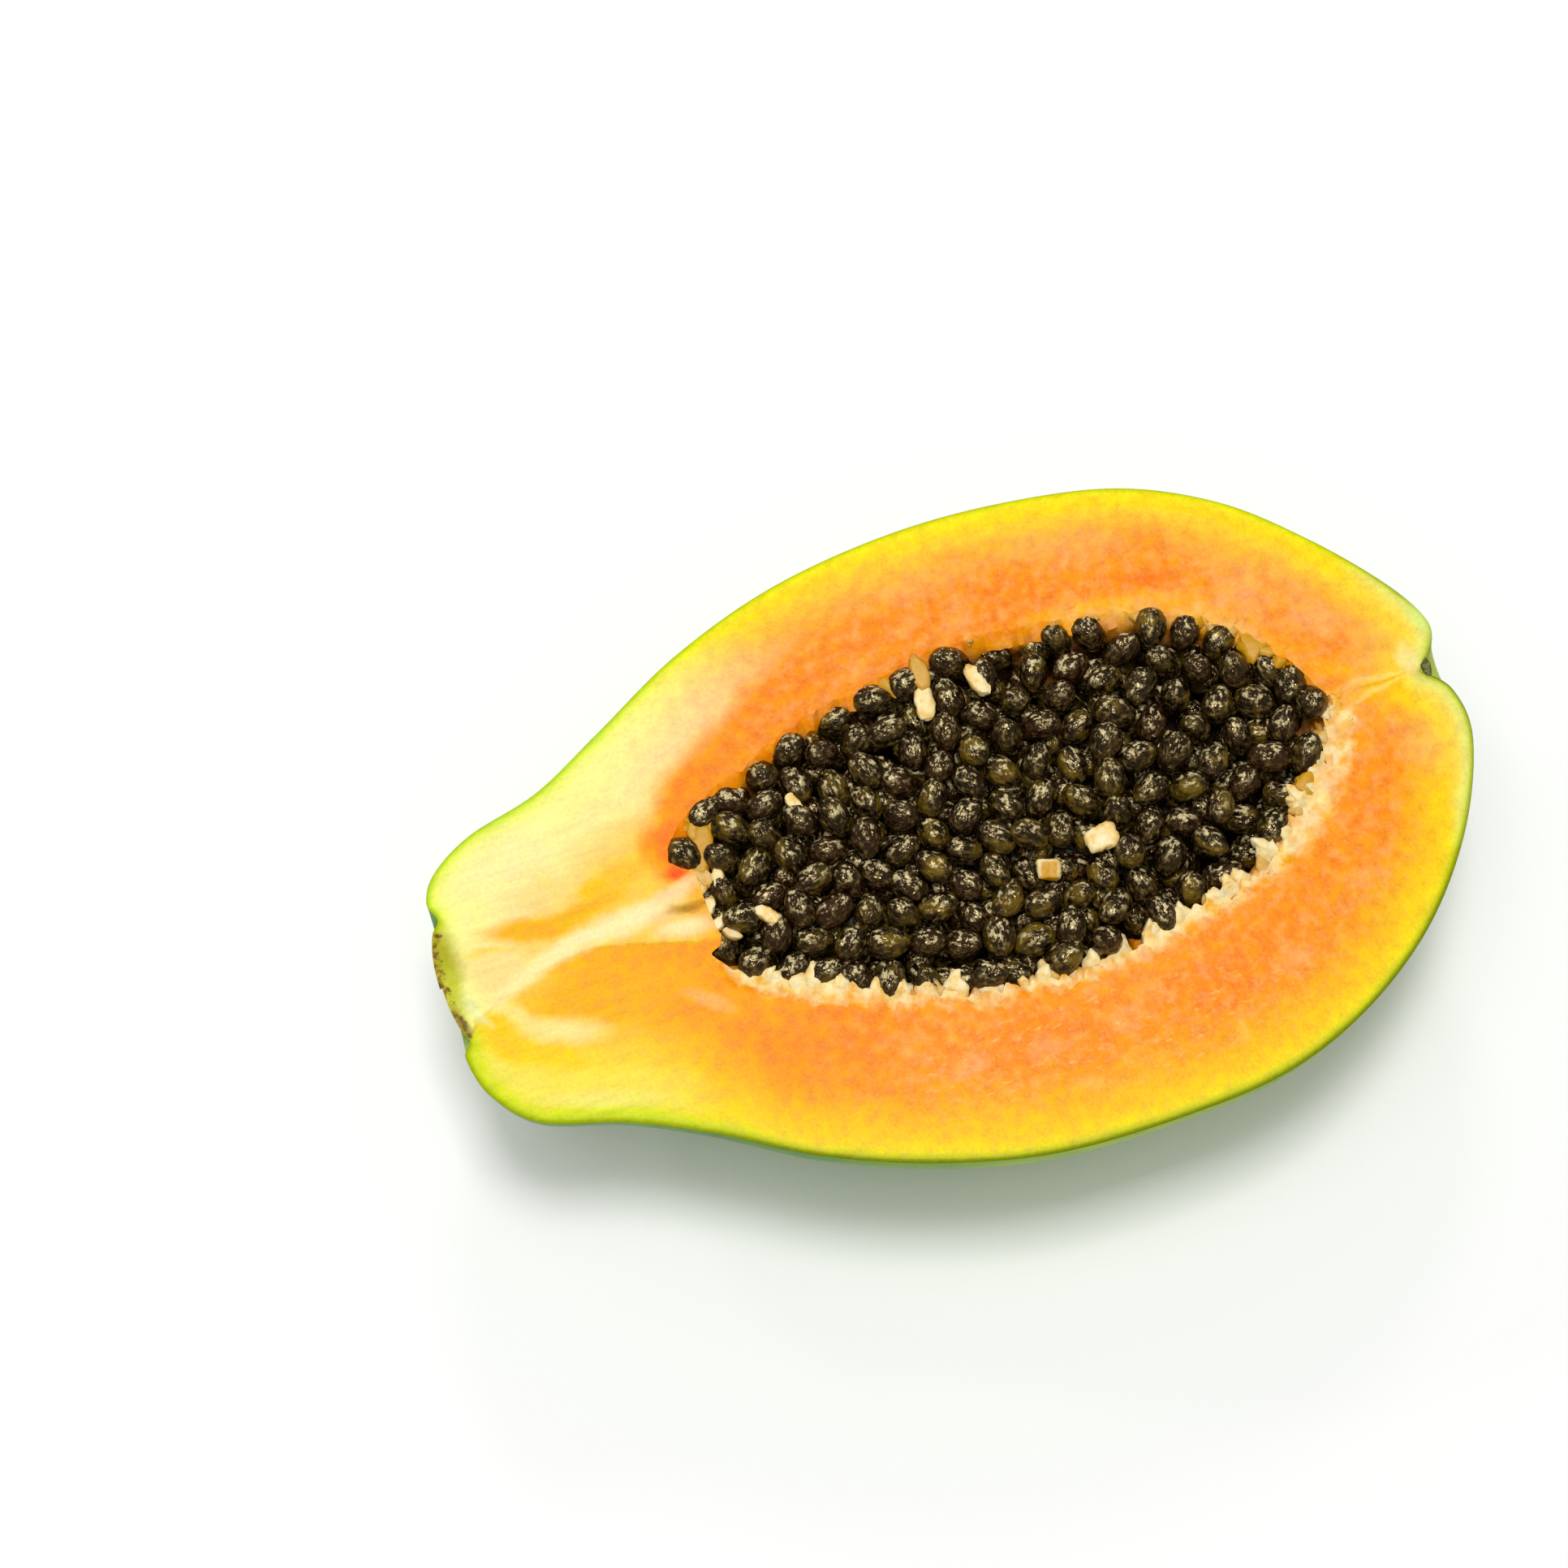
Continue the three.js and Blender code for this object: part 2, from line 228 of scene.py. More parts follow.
def ball(subdivisions, radius=1.0):
    """A ball of small triangles, and its corners."""
    bpy.ops.mesh.primitive_ico_sphere_add(subdivisions=subdivisions, radius=radius)
    return bpy.context.object, corners(bpy.context.object.data)


def turn_in_plan(points, angle):
    cos, sin = math.cos(angle), math.sin(angle)
    points[:, :2] = points[:, :2] @ np.array([[cos, sin], [-sin, cos]])


def pick(*pieces):
    """Selects these pieces and no others. The first one becomes the active one."""
    bpy.ops.object.select_all(action="DESELECT")
    for piece in pieces:
        piece.select_set(True)
    bpy.context.view_layer.objects.active = pieces[0]


def smooth_by_angle(piece, degrees):
    """Smooth shading that leaves the edges sharper than so many degrees as they are."""
    pick(piece)
    bpy.ops.object.shade_smooth_by_angle(angle=math.radians(degrees))


def tidy(piece):
    """Merges doubled corners and turns all faces outwards."""
    pick(piece)
    bpy.ops.object.mode_set(mode="EDIT")
    bpy.ops.mesh.select_all(action="SELECT")
    bpy.ops.mesh.remove_doubles(threshold=1e-6)
    bpy.ops.mesh.normals_make_consistent(inside=False)
    bpy.ops.object.mode_set(mode="OBJECT")


# %% [markdown]
# The fruit
#
# A cut papaya is one thing: skin, flesh and the torn lining of the hollow grew together. It
# could be three shells, but their edges would have to meet. So one grid is bent round like a
# sheet of dough: its columns go down the skin, over the near face, through the hollow and back
# over the far face, where the last column meets the first.

# %% Bend a grid into the half fruit
ROWS = 360
SKIN_COLUMNS, FACE_COLUMNS, WALL_COLUMNS = 96, 46, 40
NEAR_RIM = SKIN_COLUMNS + FACE_COLUMNS
FAR_RIM = NEAR_RIM + WALL_COLUMNS
COLUMNS = FAR_RIM + FACE_COLUMNS
CROWD_AT_EDGES = 0.09


def even_shares(far_side, near_side, count):
    """Shares that step evenly along the mean of both sides, so that all rows are as wide."""
    share = np.linspace(0, 1, 2001)
    steps = sum(
        np.linalg.norm(np.diff(side(points, share), axis=0), axis=1)
        for points in (far_side, near_side)
    )
    run = np.append(0, np.cumsum(steps))
    return np.interp(np.linspace(0, run[-1], count), run, share)


bpy.ops.mesh.primitive_grid_add(x_subdivisions=ROWS, y_subdivisions=COLUMNS, size=1)
fruit = bpy.context.object
fruit.name = "papaya_fruit"
flat_grid = corners(fruit.data)
row = np.unique(np.round(flat_grid[:, 0], 6), return_inverse=True)[1]
column = np.unique(np.round(flat_grid[:, 1], 6), return_inverse=True)[1]
face_column = np.array([face.center[1] for face in fruit.data.polygons])
is_skin_face = (face_column + 0.5) * column.max() < SKIN_COLUMNS
fruit_share = even_shares(FRUIT_FAR_SIDE, FRUIT_NEAR_SIDE, row.max() + 1)[row]
hollow_share = even_shares(HOLLOW_FAR_SIDE, HOLLOW_NEAR_SIDE, row.max() + 1)[row]

skin_turn = np.pi * np.clip(column / SKIN_COLUMNS, 0, 1)
skin_turn[column > NEAR_RIM] = 0
wall_turn = np.pi * (1 - np.clip((column - NEAR_RIM) / WALL_COLUMNS, 0, 1))
outer = section(
    FRUIT_FAR_SIDE, FRUIT_NEAR_SIDE, fruit_share, skin_turn, FRUIT_DEPTH, LOBE_RISE
)
inner = section(HOLLOW_FAR_SIDE, HOLLOW_NEAR_SIDE, hollow_share, wall_turn, HOLLOW_DEPTH)
inward = np.clip((column - SKIN_COLUMNS) / FACE_COLUMNS, 0, 1)
inward = np.where(column > FAR_RIM, (COLUMNS - column) / FACE_COLUMNS, inward)
inward = inward - CROWD_AT_EDGES * np.sin(2 * np.pi * inward)
fruit_points = outer + (inner - outer) * inward[:, None]
fruit_points[:, 2] = np.maximum(fruit_points[:, 2], floor_z)
print(len(fruit_points), "corners,", column.max() + 1, "columns,", row.max() + 1, "rows")

# %% [markdown]
# What each point of the fruit knows
#
# The colours of the flesh follow the skin and the hollow, not straight lines, so each corner
# keeps its distance to both. The lining is the pale torn skin of the hollow: a band 3 to 5 mm
# wide on the near side and at the blossom end. On the far side it is a golden thread that
# begins at the middle and widens towards the tip. Before it the seeds touch orange flesh.

# %% Distances, and the width of the pale lining
BARE_RIM, NEAR_BAND, TIP_BAND, FAR_THREAD = -2.2, 4.9, 1.6, 1.5

is_skin = column <= SKIN_COLUMNS
is_wall = (column >= NEAR_RIM) & (column <= FAR_RIM)
x, y, z = fruit_points.T
skin_mm = np.where(is_skin, 0, distance_to(outline, fruit_points))
rim_mm = np.where(is_wall | is_skin, np.where(is_skin, 40, 0), distance_to(rim, fruit_points))
near_side = smooth(4, -6, y)
blossom_end = smooth(126, 140, x)
lining_width = BARE_RIM + NEAR_BAND * near_side * smooth(37, 45, x) + 0.5 * smooth(88, 104, x)
lining_width += blossom_end * (TIP_BAND + 0.8 * smooth(12, 5, y) * smooth(-8, 3, y))
far_band = smooth(8, 16, y) * smooth(142, 136, x)
lining_width += far_band * (FAR_THREAD * smooth(60, 78, x) + 1.2 * smooth(100, 112, x))
lining_mm = lining_width - rim_mm
print("lining up to", round(float(lining_width.max()), 1), "mm wide")

# %% [markdown]
# Relief
#
# The knife leaves the face flat, but the skin's edge is a little rounded, the lining is torn
# into teeth that reach between the seeds, and the scar where the stalk broke off is a rough
# crust. Sculpting would not repeat exactly, so the corners are moved by rules.

# %% Round the skin's edge, tear the rim and roughen the stalk scar
EDGE_WIDTH, EDGE_DROP = 0.8, 0.35
TORN_WIDTH, TORN_FLOOR = 4.5, -16
STALK_FILL, FAR_BULGE, CRUST_RISE = 4.0, 2.3, 1.2
STALK_SCAR = np.array([-0.4, 0.4, 0.0])
SCAR_RADIUS = 9.6

edge_drop = EDGE_DROP * (1 - np.clip(skin_mm / EDGE_WIDTH, 0, 1)) ** 2
edge_drop[is_skin & (z < -0.01)] = 0
z -= edge_drop

stalk_end = smooth(-8.5, -5.5, y) * smooth(8.2, 5.2, y) * smooth(46, 40, x)
filled = stalk_end * np.clip(1 - rim_mm / 9, 0, 1) * smooth(-9, -2, z)
fruit_points[:, 0] += STALK_FILL * filled

torn = np.flatnonzero((rim_mm < TORN_WIDTH) & (z > TORN_FLOOR))
to_middle = np.stack([np.zeros(len(torn)), -np.sign(y[torn]), np.zeros(len(torn))], axis=1)
bulk = lumps(fruit_points[torn], 3.4, 3.0) - 0.45
fray = waves(fruit_points[torn], 1.3, 11.0)
fade = (1 - rim_mm[torn] / TORN_WIDTH) * smooth(TORN_FLOOR, -2, z[torn])
reach = 0.7 + 1.7 * near_side[torn] * smooth(40, 54, x[torn]) + 1.1 * blossom_end[torn]
bulge = FAR_BULGE * (1 - near_side[torn]) * smooth(-0.3, -2, z[torn])
bulge *= smooth(TORN_FLOOR, -7, z[torn])
pull = reach * fade * (1.7 * bulk + 0.9 * fray) + bulge
fruit_points[torn] += to_middle * pull[:, None]
on_top = z[torn] > -0.5
sink = np.clip(0.55 - bulk - 0.3 * fray, 0, 1) * smooth(3.2, 0.3, rim_mm[torn])
fruit_points[torn, 2] -= on_top * sink * 0.9 * np.clip(lining_width[torn] / 3, 0.1, 1)

scar_mm = np.linalg.norm(fruit_points - STALK_SCAR, axis=1)
crust = np.flatnonzero(is_skin & (scar_mm < SCAR_RADIUS + 2))
rough = 0.5 + 0.5 * lumps(fruit_points[crust], 1.6, 5.0) + 0.5 * waves(fruit_points[crust], 0.9)
rough *= smooth(SCAR_RADIUS + 2, SCAR_RADIUS - 1, scar_mm[crust])
fruit_points[crust, 0] += CRUST_RISE * rough
print(len(torn), "corners torn,", len(crust), "in the crust of the scar")

# %% [markdown]
# Close the dough
#
# Where columns or rows meet, two corners lie on one place. They are merged before the normals
# are recalculated, or the seam would stay open and show as a line.

# %% Close and smooth the fruit
put_corners(fruit.data, to_row(fruit_points))
put_attribute(fruit.data, "skin_mm", skin_mm)
put_attribute(fruit.data, "rim_mm", rim_mm)
put_attribute(fruit.data, "lining_mm", lining_mm)
fruit.data.polygons.foreach_set("material_index", (~is_skin_face).astype(np.int32))
tidy(fruit)
smooth_by_angle(fruit, 42)
print("fruit:", len(fruit.data.vertices), "corners after merging")

# %% [markdown]
# Colours and nodes
#
# Colours are read off a screen, so they are written as hex values in the screen's own scale,
# and Blender needs them in a linear one. One small function adds a node, sets it and links it,
# which keeps a long material short enough to read. In a Mix node that mixes colours, input 0 is
# the share, 6 the colour below and 7 the colour above.

# %% Tools for materials
def colour(hex_value):
    """A screen colour such as #ffa530 as Blender's linear red, green, blue and alpha."""
    parts = [int(hex_value[i:i + 2], 16) / 255 for i in (1, 3, 5)]
    linear = [c / 12.92 if c <= 0.04045 else ((c + 0.055) / 1.055) ** 2.4 for c in parts]
    return (*linear, 1.0)


def fill(node, inputs):
    """Sets or links inputs: a list goes in their order, a dictionary by name or number."""
    for name, value in inputs.items() if isinstance(inputs, dict) else enumerate(inputs):
        if isinstance(value, bpy.types.Node):
            value = next(socket for socket in value.outputs if socket.enabled)
        if isinstance(value, bpy.types.NodeSocket):
            node.id_data.links.new(value, node.inputs[name])
        else:
            node.inputs[name].default_value = colour(value) if isinstance(value, str) else value


def add_node(tree, kind, inputs=(), stops=None, **named):
    """
    Adds a node. Inputs are given as in fill, or by their names as words with a capital. Words
    without one are the node's settings, and stops are the colours of a ramp.
    """
    node = tree.nodes.new("ShaderNode" + kind)
    for name in [name for name in named if name.islower()]:
        setattr(node, name, named.pop(name))
    for some_inputs in (inputs, named):
        fill(node, some_inputs)
    if stops:
        elements = node.color_ramp.elements
        elements.remove(elements[1])
        elements[0].position = stops[0][0]
        elements[0].color = colour(stops[0][1])
        for place, hex_value in stops[1:]:
            elements.new(place).color = colour(hex_value)
    return node


def new_material(name):
    """An empty material, the function that adds its nodes, and its shader."""
    made = bpy.data.materials.new(name)
    made.use_nodes = True
    made.node_tree.nodes.clear()
    add = partial(add_node, made.node_tree)
    shader = add("BsdfPrincipled")
    add("OutputMaterial", Surface=shader)
    return made, add, shader


def fruit_place(add):
    """Object coordinates turned into the fruit's own millimetres."""
    here = add("TexCoord").outputs["Object"]
    return add("Mapping", Vector=here, Location=tuple(-shift / fit), Scale=(1000 / fit,) * 3)


# Settings that many nodes share
COLOURS = {"data_type": "RGBA"}
SOFT = {"interpolation_type": "SMOOTHSTEP"}
TIMES = {"operation": "MULTIPLY"}

# %% [markdown]
# Skin
#
# A ripening papaya has a thin tough skin with a waxy bloom: green that clears to lime and
# yellow in long soft blotches, since the fruit hung from one end. A little wax gives a broad
# soft shine, not a wet one. Tiny corky dots, under a millimetre, are scattered over it, and
# the scar of the stalk is dull and brown.

# %% Waxy green skin
waxy_skin, add, shader = new_material("waxy papaya skin")
place = fruit_place(add)
long_blotches = add("Mapping", Vector=place, Scale=(0.35, 1, 1))
blotch = add("TexNoise", Vector=long_blotches, Scale=0.045, Detail=5, Roughness=0.55)
greens = add(
    "ValToRGB", Fac=blotch,
    stops=[(0.30, "#3f7410"), (0.43, "#5f9412"), (0.54, "#86b016"), (0.64, "#b4cc1c"),
           (0.76, "#dcdc24")]
)
freckle = add("TexNoise", Vector=long_blotches, Scale=0.9, Detail=4, Roughness=0.65)
freckled = add("MapRange", [freckle, 0.3, 0.7, 0.86, 1.12])
skin_colour = add("HueSaturation", Color=greens, Value=freckled)
dots = add("TexVoronoi", Vector=place, Scale=0.28)
dot = add("MapRange", [dots, 0.08, 0.13, 0.55, 0])
to_blossom, to_scar = (
    add("VectorMath", [place, spot], operation="DISTANCE").outputs["Value"]
    for spot in ((163, 0.5, -1), tuple(STALK_SCAR))
)
blossom_share = add("MapRange", [to_blossom, 3, 11, 0.85, 0], **SOFT)
scar_wobble = add("TexNoise", Vector=place, Scale=0.7, Detail=4)
scar_edge = add("Math", [scar_wobble, 4, to_scar], operation="MULTIPLY_ADD")
scar_colour = add(
    "ValToRGB", Fac=scar_wobble,
    stops=[(0.34, "#3c2409"), (0.46, "#7d5a18"), (0.55, "#b7a626"), (0.68, "#cfc43a")]
)
scar_share = add("MapRange", [scar_edge, 11.4, 12.2, 1, 0])
for share, above in ((dot, "#a9a24a"), (blossom_share, "#b9c63a"), (scar_share, scar_colour)):
    skin_colour = add("Mix", {0: share, 6: skin_colour, 7: above}, **COLOURS)
skin_bump = add("Bump", Height=freckle, Strength=0.25, Distance=0.00012)
skin_gloss = add("MapRange", [scar_share, 0, 1, 0.4, 0.85])
fill(shader, {
    "Base Color": skin_colour, "Roughness": skin_gloss, "Normal": skin_bump, "IOR": 1.4,
    "Specular IOR Level": 0.1,
})
print(waxy_skin.name, "has", len(waxy_skin.node_tree.nodes), "nodes")

# %% [markdown]
# Flesh, from the skin inwards
#
# Ripe flesh is moist and a little see-through, so its colour comes from inside. Under the thin
# green line of the skin it is lime, then yellow, then it deepens to salmon orange. Near the
# stalk it is paler, because that end ripens last. A gradient along one axis could not follow
# the outline, so four ramps run over the distance to the skin, for the far and near side, and
# for the body and the neck. A fifth one serves the blossom tip.

# %% Five runs of colour, by millimetres under the skin
REACH = 24.0
FAR_BODY = [
    (0, "#a9bc1c"), (0.4, "#dcdc20"), (0.9, "#f2e41a"), (1.6, "#fae02a"), (2.5, "#fcda38"),
    (3.5, "#fbd44a"), (5, "#fbc84e"), (7, "#fab950"), (9, "#f9ae56"), (11, "#f9a44e"),
    (14, "#f89a3e"), (18, "#f7922a"), (23, "#f89836"),
]
FAR_NECK = [
    (0, "#9cc83a"), (0.4, "#c4dd48"), (0.9, "#e0ee5e"), (1.6, "#f1f57c"), (2.5, "#f9f690"),
    (4, "#fcf49a"), (6, "#fdf198"), (9, "#feed9e"), (12, "#fee89a"), (15, "#fddc84"),
    (19, "#fbd066"), (23, "#fbcb5c"),
]
NEAR_BODY = [
    (0, "#6d7c10"), (0.35, "#8e9812"), (0.8, "#c2c40e"), (1.5, "#efda06"), (2.5, "#fcd404"),
    (3.5, "#fdcb04"), (5, "#fdc30c"), (7, "#fbb826"), (9, "#f9ac2a"), (11, "#f9a22e"),
    (14, "#fa9a32"), (18, "#f9922a"), (23, "#fa9830"),
]
NEAR_NECK = [
    (0, "#94a41c"), (0.4, "#b4c226"), (0.9, "#c9d720"), (1.6, "#d8e22e"), (2.5, "#e8e34e"),
    (3.5, "#f2e560"), (5, "#fae466"), (7, "#fde062"), (9, "#fddb54"), (11, "#fcd450"),
    (14, "#fbc84e"), (18, "#fabb40"), (23, "#fbb038"),
]
BLOSSOM_TIP = [
    (0, "#8ea03c"), (0.4, "#b8c246"), (0.9, "#dcde6e"), (1.6, "#ece57a"), (2.5, "#f8df66"),
    (4, "#fcd754"), (7, "#fbcd54"), (10, "#fac958"), (13, "#fabf5c"), (18, "#f9ae4c"),
    (23, "#f79e3c"),
]

flesh, add, shader = new_material("moist papaya flesh")
place = fruit_place(add)
# Scale, detail and roughness of each noise
stir, wobble, threads, lining_noise, corky, grain, cells, fleck_noise = (
    add("TexNoise", Vector=place, Scale=scale, Detail=detail, Roughness=roughness)
    for scale, detail, roughness in (
        (0.2, 3, 0.5), (0.12, 4, 0.5), (0.55, 4, 0.6), (0.38, 3, 0.5), (0.7, 3.5, 0.6),
        (1.5, 3, 0.6), (0.42, 3, 0.55), (0.45, 3, 0.6),
    )
)
stir_by = add(
    "VectorMath", [stir.outputs["Color"], (2.6, 2.6, 0), (-1.3, -1.3, 0)], operation="MULTIPLY_ADD"
)
stirred = add("VectorMath", [place, stir_by])
along_x, along_y = add("SeparateXYZ", Vector=stirred).outputs[:2]
height = add("SeparateXYZ", Vector=place).outputs["Z"]
under_skin, near_rim, lining_here = (
    add("Attribute", attribute_name=name).outputs["Fac"]
    for name in ("skin_mm", "rim_mm", "lining_mm")
)
wobble_share = add("MapRange", [wobble, 0.3, 0.7, 0.84, 1.16])
depth = add("Math", [under_skin, wobble_share], **TIMES)
depth_share = add("Math", [depth, 1 / REACH], **TIMES)
runs = {
    name: add("ValToRGB", Fac=depth_share, stops=[(mm / REACH, hex_value) for mm, hex_value in run])
    for name, run in {
        "far body": FAR_BODY, "far neck": FAR_NECK, "near body": NEAR_BODY,
        "near neck": NEAR_NECK, "tip": BLOSSOM_TIP,
    }.items()
}
print("runs of colour:", ", ".join(runs))

# %% [markdown]
# Where the runs meet
#
# The runs blend into each other along the fruit. The two sides meet in the neck along the
# fibres that fed the seeds: a pale cord that bends from the stalk to the hollow, with a thin
# amber line under it. Its course is drawn once as a small curve of y over x.

# %% Blend the runs along and across the fruit
CORD = [
    (-2, -10.5), (0.2, -9.1), (3.4, -6.6), (7.2, -4.7), (12, -2.8), (18.2, -1.7), (25, -1.9),
    (30.5, -3), (36, -5), (43, -6), (150, 0), (170, 0),
]
X_START, X_END, Y_LOW, Y_HIGH = -2, 170, -12, 4

cord_x = add("MapRange", [along_x, X_START, X_END])
line = add("FloatCurve", Value=cord_x)
curve = line.mapping.curves[0]
while len(curve.points) < len(CORD):
    curve.points.new(0.5, 0.5)
for point, (px, py) in zip(curve.points, CORD):
    point.location = ((px - X_START) / (X_END - X_START), (py - Y_LOW) / (Y_HIGH - Y_LOW))
line.mapping.update()
cord_y = add("MapRange", [line, 0, 1, Y_LOW, Y_HIGH])
above_cord = add("Math", [along_y, cord_y], operation="SUBTRACT")
far_share = add("MapRange", [above_cord, -0.5, 0.5], **SOFT)
far_neck, near_neck, tip_share = (
    add("MapRange", [along_x, *run], **SOFT)
    for run in ((34, 66, 1, 0), (21, 47, 1, 0), (152, 163))
)
in_neck, beyond_neck, beyond_near_neck, before_tip, at_blossom = (
    add("MapRange", [along_x, *run])
    for run in ((38, 42, 1, 0), (38, 50), (46, 66), (94, 118, 1, 0), (126, 136))
)
far_run, flesh_colour = (
    add("Mix", {0: neck, 6: runs[side_name + " body"], 7: runs[side_name + " neck"]}, **COLOURS)
    for side_name, neck in (("far", far_neck), ("near", near_neck))
)
from_cord = add("Math", [above_cord], operation="ABSOLUTE")
amber_line = add("MapRange", [from_cord, 0, 0.6, 0.5, 0], **SOFT)
amber_amount = add("Math", [amber_line, in_neck], **TIMES)
for share, above in ((far_share, far_run), (tip_share, runs["tip"]), (amber_amount, "#d8a01a")):
    flesh_colour = add("Mix", {0: share, 6: flesh_colour, 7: above}, **COLOURS)

# %% [markdown]
# Patches
#
# No two papayas have the same marks. This one has an amber pocket and a pale cord in its neck,
# a golden corner by the scar, a deep orange glow round the stalk end of the hollow and fine
# rays to the blossom scar. Two small golden spots on the near flesh are painted glints: painted
# highlight. Each is a soft ellipse: a ball gradient stretched by a Mapping node,
# over coordinates that were stirred a little, so that its edge isn't a drawn one.

# %% Soft patches: colour, centre and half sizes in mm, turn in degrees, strength
PATCHES = [
    ("#fdefae", 14.4, 16.5, 11, 4.6, 16, 0.6),
    ("#fdddA0", 50, 29, 17, 5.4, 27, 0.55),
    ("#fbcf66", 30, 12, 11, 6, 20, 0.5),
    ("#fcc23c", 31.5, 9, 7, 3.4, 18, 0.7),
    ("#f98c22", 62, 27, 24, 5, 22, 0.75),
    ("#f7861a", 86, 33.5, 17, 4.6, 6, 0.55),
    ("#f98a24", 45, 17, 11, 5.6, 42, 0.85),
    ("#ff7a10", 39.6, 10.5, 5.6, 5.4, 60, 0.9),
    ("#fd4e02", 39.4, 6, 3, 1.9, -15, 0.95),
    ("#fbd88c", 8.2, -0.6, 8, 4.4, -32, 0.75),
    ("#fbd794", 17, 7.6, 9, 2.2, 14, 0.4),
    ("#f9b233", 25, -9, 20, 5.2, -8, 0.8),
    ("#f9a632", 42, -18, 15, 4.6, -29, 0.7),
    ("#fdd79a", 38, -15, 6, 1.6, -35, 0.35),
    ("#ffca02", 6.2, -10.8, 6.4, 3.6, -58, 0.95),
    ("#ffd21e", 12, -15.6, 7, 2, -32, 0.8),
    ("#fbe590", 9, -7.6, 4.4, 1.6, -48, 0.8),
    ("#fce694", 14.8, -12, 8.4, 2.7, -22, 0.95),
    ("#fde75a", 19, -21.4, 16, 2.4, -19, 0.55),
    ("#f3e980", 17.5, -24.6, 11, 1.5, -17, 0.6),
    ("#fdedaa", 12, -2.6, 9, 1.9, 22, 0.85),
    ("#fdf0b2", 22.4, 0.4, 11, 2.3, 9, 0.95),
    ("#fdeeb4", 32, 1.2, 8, 2.9, 6, 0.9),
    ("#fbdca6", 39, 3.4, 6.4, 1.8, 12, 0.85),
    ("#fdeab0", 38.6, -2.9, 6.6, 1.9, -6, 0.9),
    ("#f9c98c", 35.6, -0.4, 4, 1, -6, 0.6),
    ("#b08020", 39.8, 0.2, 4.4, 1.1, -4, 0.95),
    ("#f7ae04", 15, 4.5, 9.4, 2.3, -12, 1),
    ("#fbb80e", 23.8, 4.9, 8.4, 1.7, 10, 0.95),
    ("#f8c42a", 25.8, 7.8, 3.6, 2.1, 12, 0.85),
    ("#fad35a", 8, 3.2, 5.4, 0.9, -8, 0.7),
    ("#dfe89a", 2.6, -4.4, 3.4, 1.5, -74, 0.85),
    ("#f6f0b4", 3.6, -6.4, 3.6, 0.8, -62, 0.45),
    ("#a8a610", 0.7, 5, 7.2, 3.2, 94, 0.95),
    ("#bfc232", 0.7, -1.4, 5.6, 1.9, 90, 0.85),
    ("#5c3d14", 0.3, -6.2, 3.4, 1.3, -80, 0.95),
    ("#f8761c", 125.7, 27.6, 5.6, 2.2, -13, 0.8),
    ("#f98e34", 104, 31.6, 16, 3.4, -5, 0.55),
    ("#fcae66", 118, 36, 12, 3.6, -12, 0.4),
    ("#fbc04a", 119, 25.6, 15, 2.4, -12, 0.8),
    ("#fbae1c", 132, 20.4, 8, 2.6, -28, 0.95),
    ("#fa9c08", 138.6, 14.4, 6, 3.2, -52, 0.95),
    ("#fb9f08", 143.6, 9.2, 5.6, 2.8, -48, 0.95),
    ("#fba90c", 148.4, 4.8, 6.6, 2.2, -22, 0.95),
    ("#f79a1c", 134.5, -19.5, 11, 5, -128, 0.4),
    ("#fbb27a", 156, -10, 8, 5, -60, 0.4),
    ("#fcb67a", 149, 13, 7, 4, -30, 0.45),
    ("#f98a2c", 118, -38, 22, 7, 8, 0.35),
    ("#f78c20", 58, -25.5, 11, 3.6, -23, 0.5),
    ("#fdb288", 73.5, -37.5, 4.6, 2.6, 10, 0.4),
    ("#feae84", 85, -38.5, 5.4, 3, -10, 0.4),
    # Painted highlight: these two golden spots stand for glints on the wet flesh
    ("#fec866", 97, -44, 3.4, 1.6, 30, 0.5),
    ("#fec866", 114.5, -46, 3, 2, 60, 0.5),
    ("#fdc070", 90, -46, 5, 1.8, -8, 0.4),
    ("#fbd04a", 155, 0.6, 9, 2, 2, 0.8),
    ("#fde58e", 154.6, 1.2, 9, 0.5, -3, 0.5),
    ("#fde692", 153.8, -0.7, 8, 0.5, 9, 0.45),
    ("#e8a622", 152.5, 0.2, 8.5, 0.4, 3, 0.7),
    ("#f8ecac", 160.6, 2.4, 1.9, 3.6, 10, 0.55),
    ("#dcec86", 164.6, 8, 1.7, 5, 12, 0.75),
]
SPREAD = 1.22


def soft_ellipse(x, y, half_x, half_y, turn):
    """1 in the middle of an ellipse of the cut face, and 0 outside it."""
    spot = add(
        "Mapping",
        Vector=stirred, Location=(x, y, 0), Scale=(half_x, half_y, 30),
         Rotation=(0, 0, math.radians(turn)),
        vector_type="TEXTURE"
    )
    return add("TexGradient", Vector=spot, gradient_type="SPHERICAL").outputs["Fac"]


for hex_value, x, y, half_x, half_y, turn, strength in PATCHES:
    spot = soft_ellipse(x, y, SPREAD * half_x, SPREAD * half_y, turn)
    amount = add("MapRange", [spot, 0, 0.85, 0, strength], **SOFT)
    flesh_colour = add("Mix", {0: amount, 6: flesh_colour, 7: hex_value}, **COLOURS)
print(len(PATCHES), "patches")

# %% [markdown]
# Lining and hollow
#
# The lining is cream, thready and a little lumpy, with amber where juice stands in it. Below
# the rim the wall of the hollow turns amber brown and gets darker with depth, as little light
# reaches it. The deep orange of the far side is strongest right at the rim.

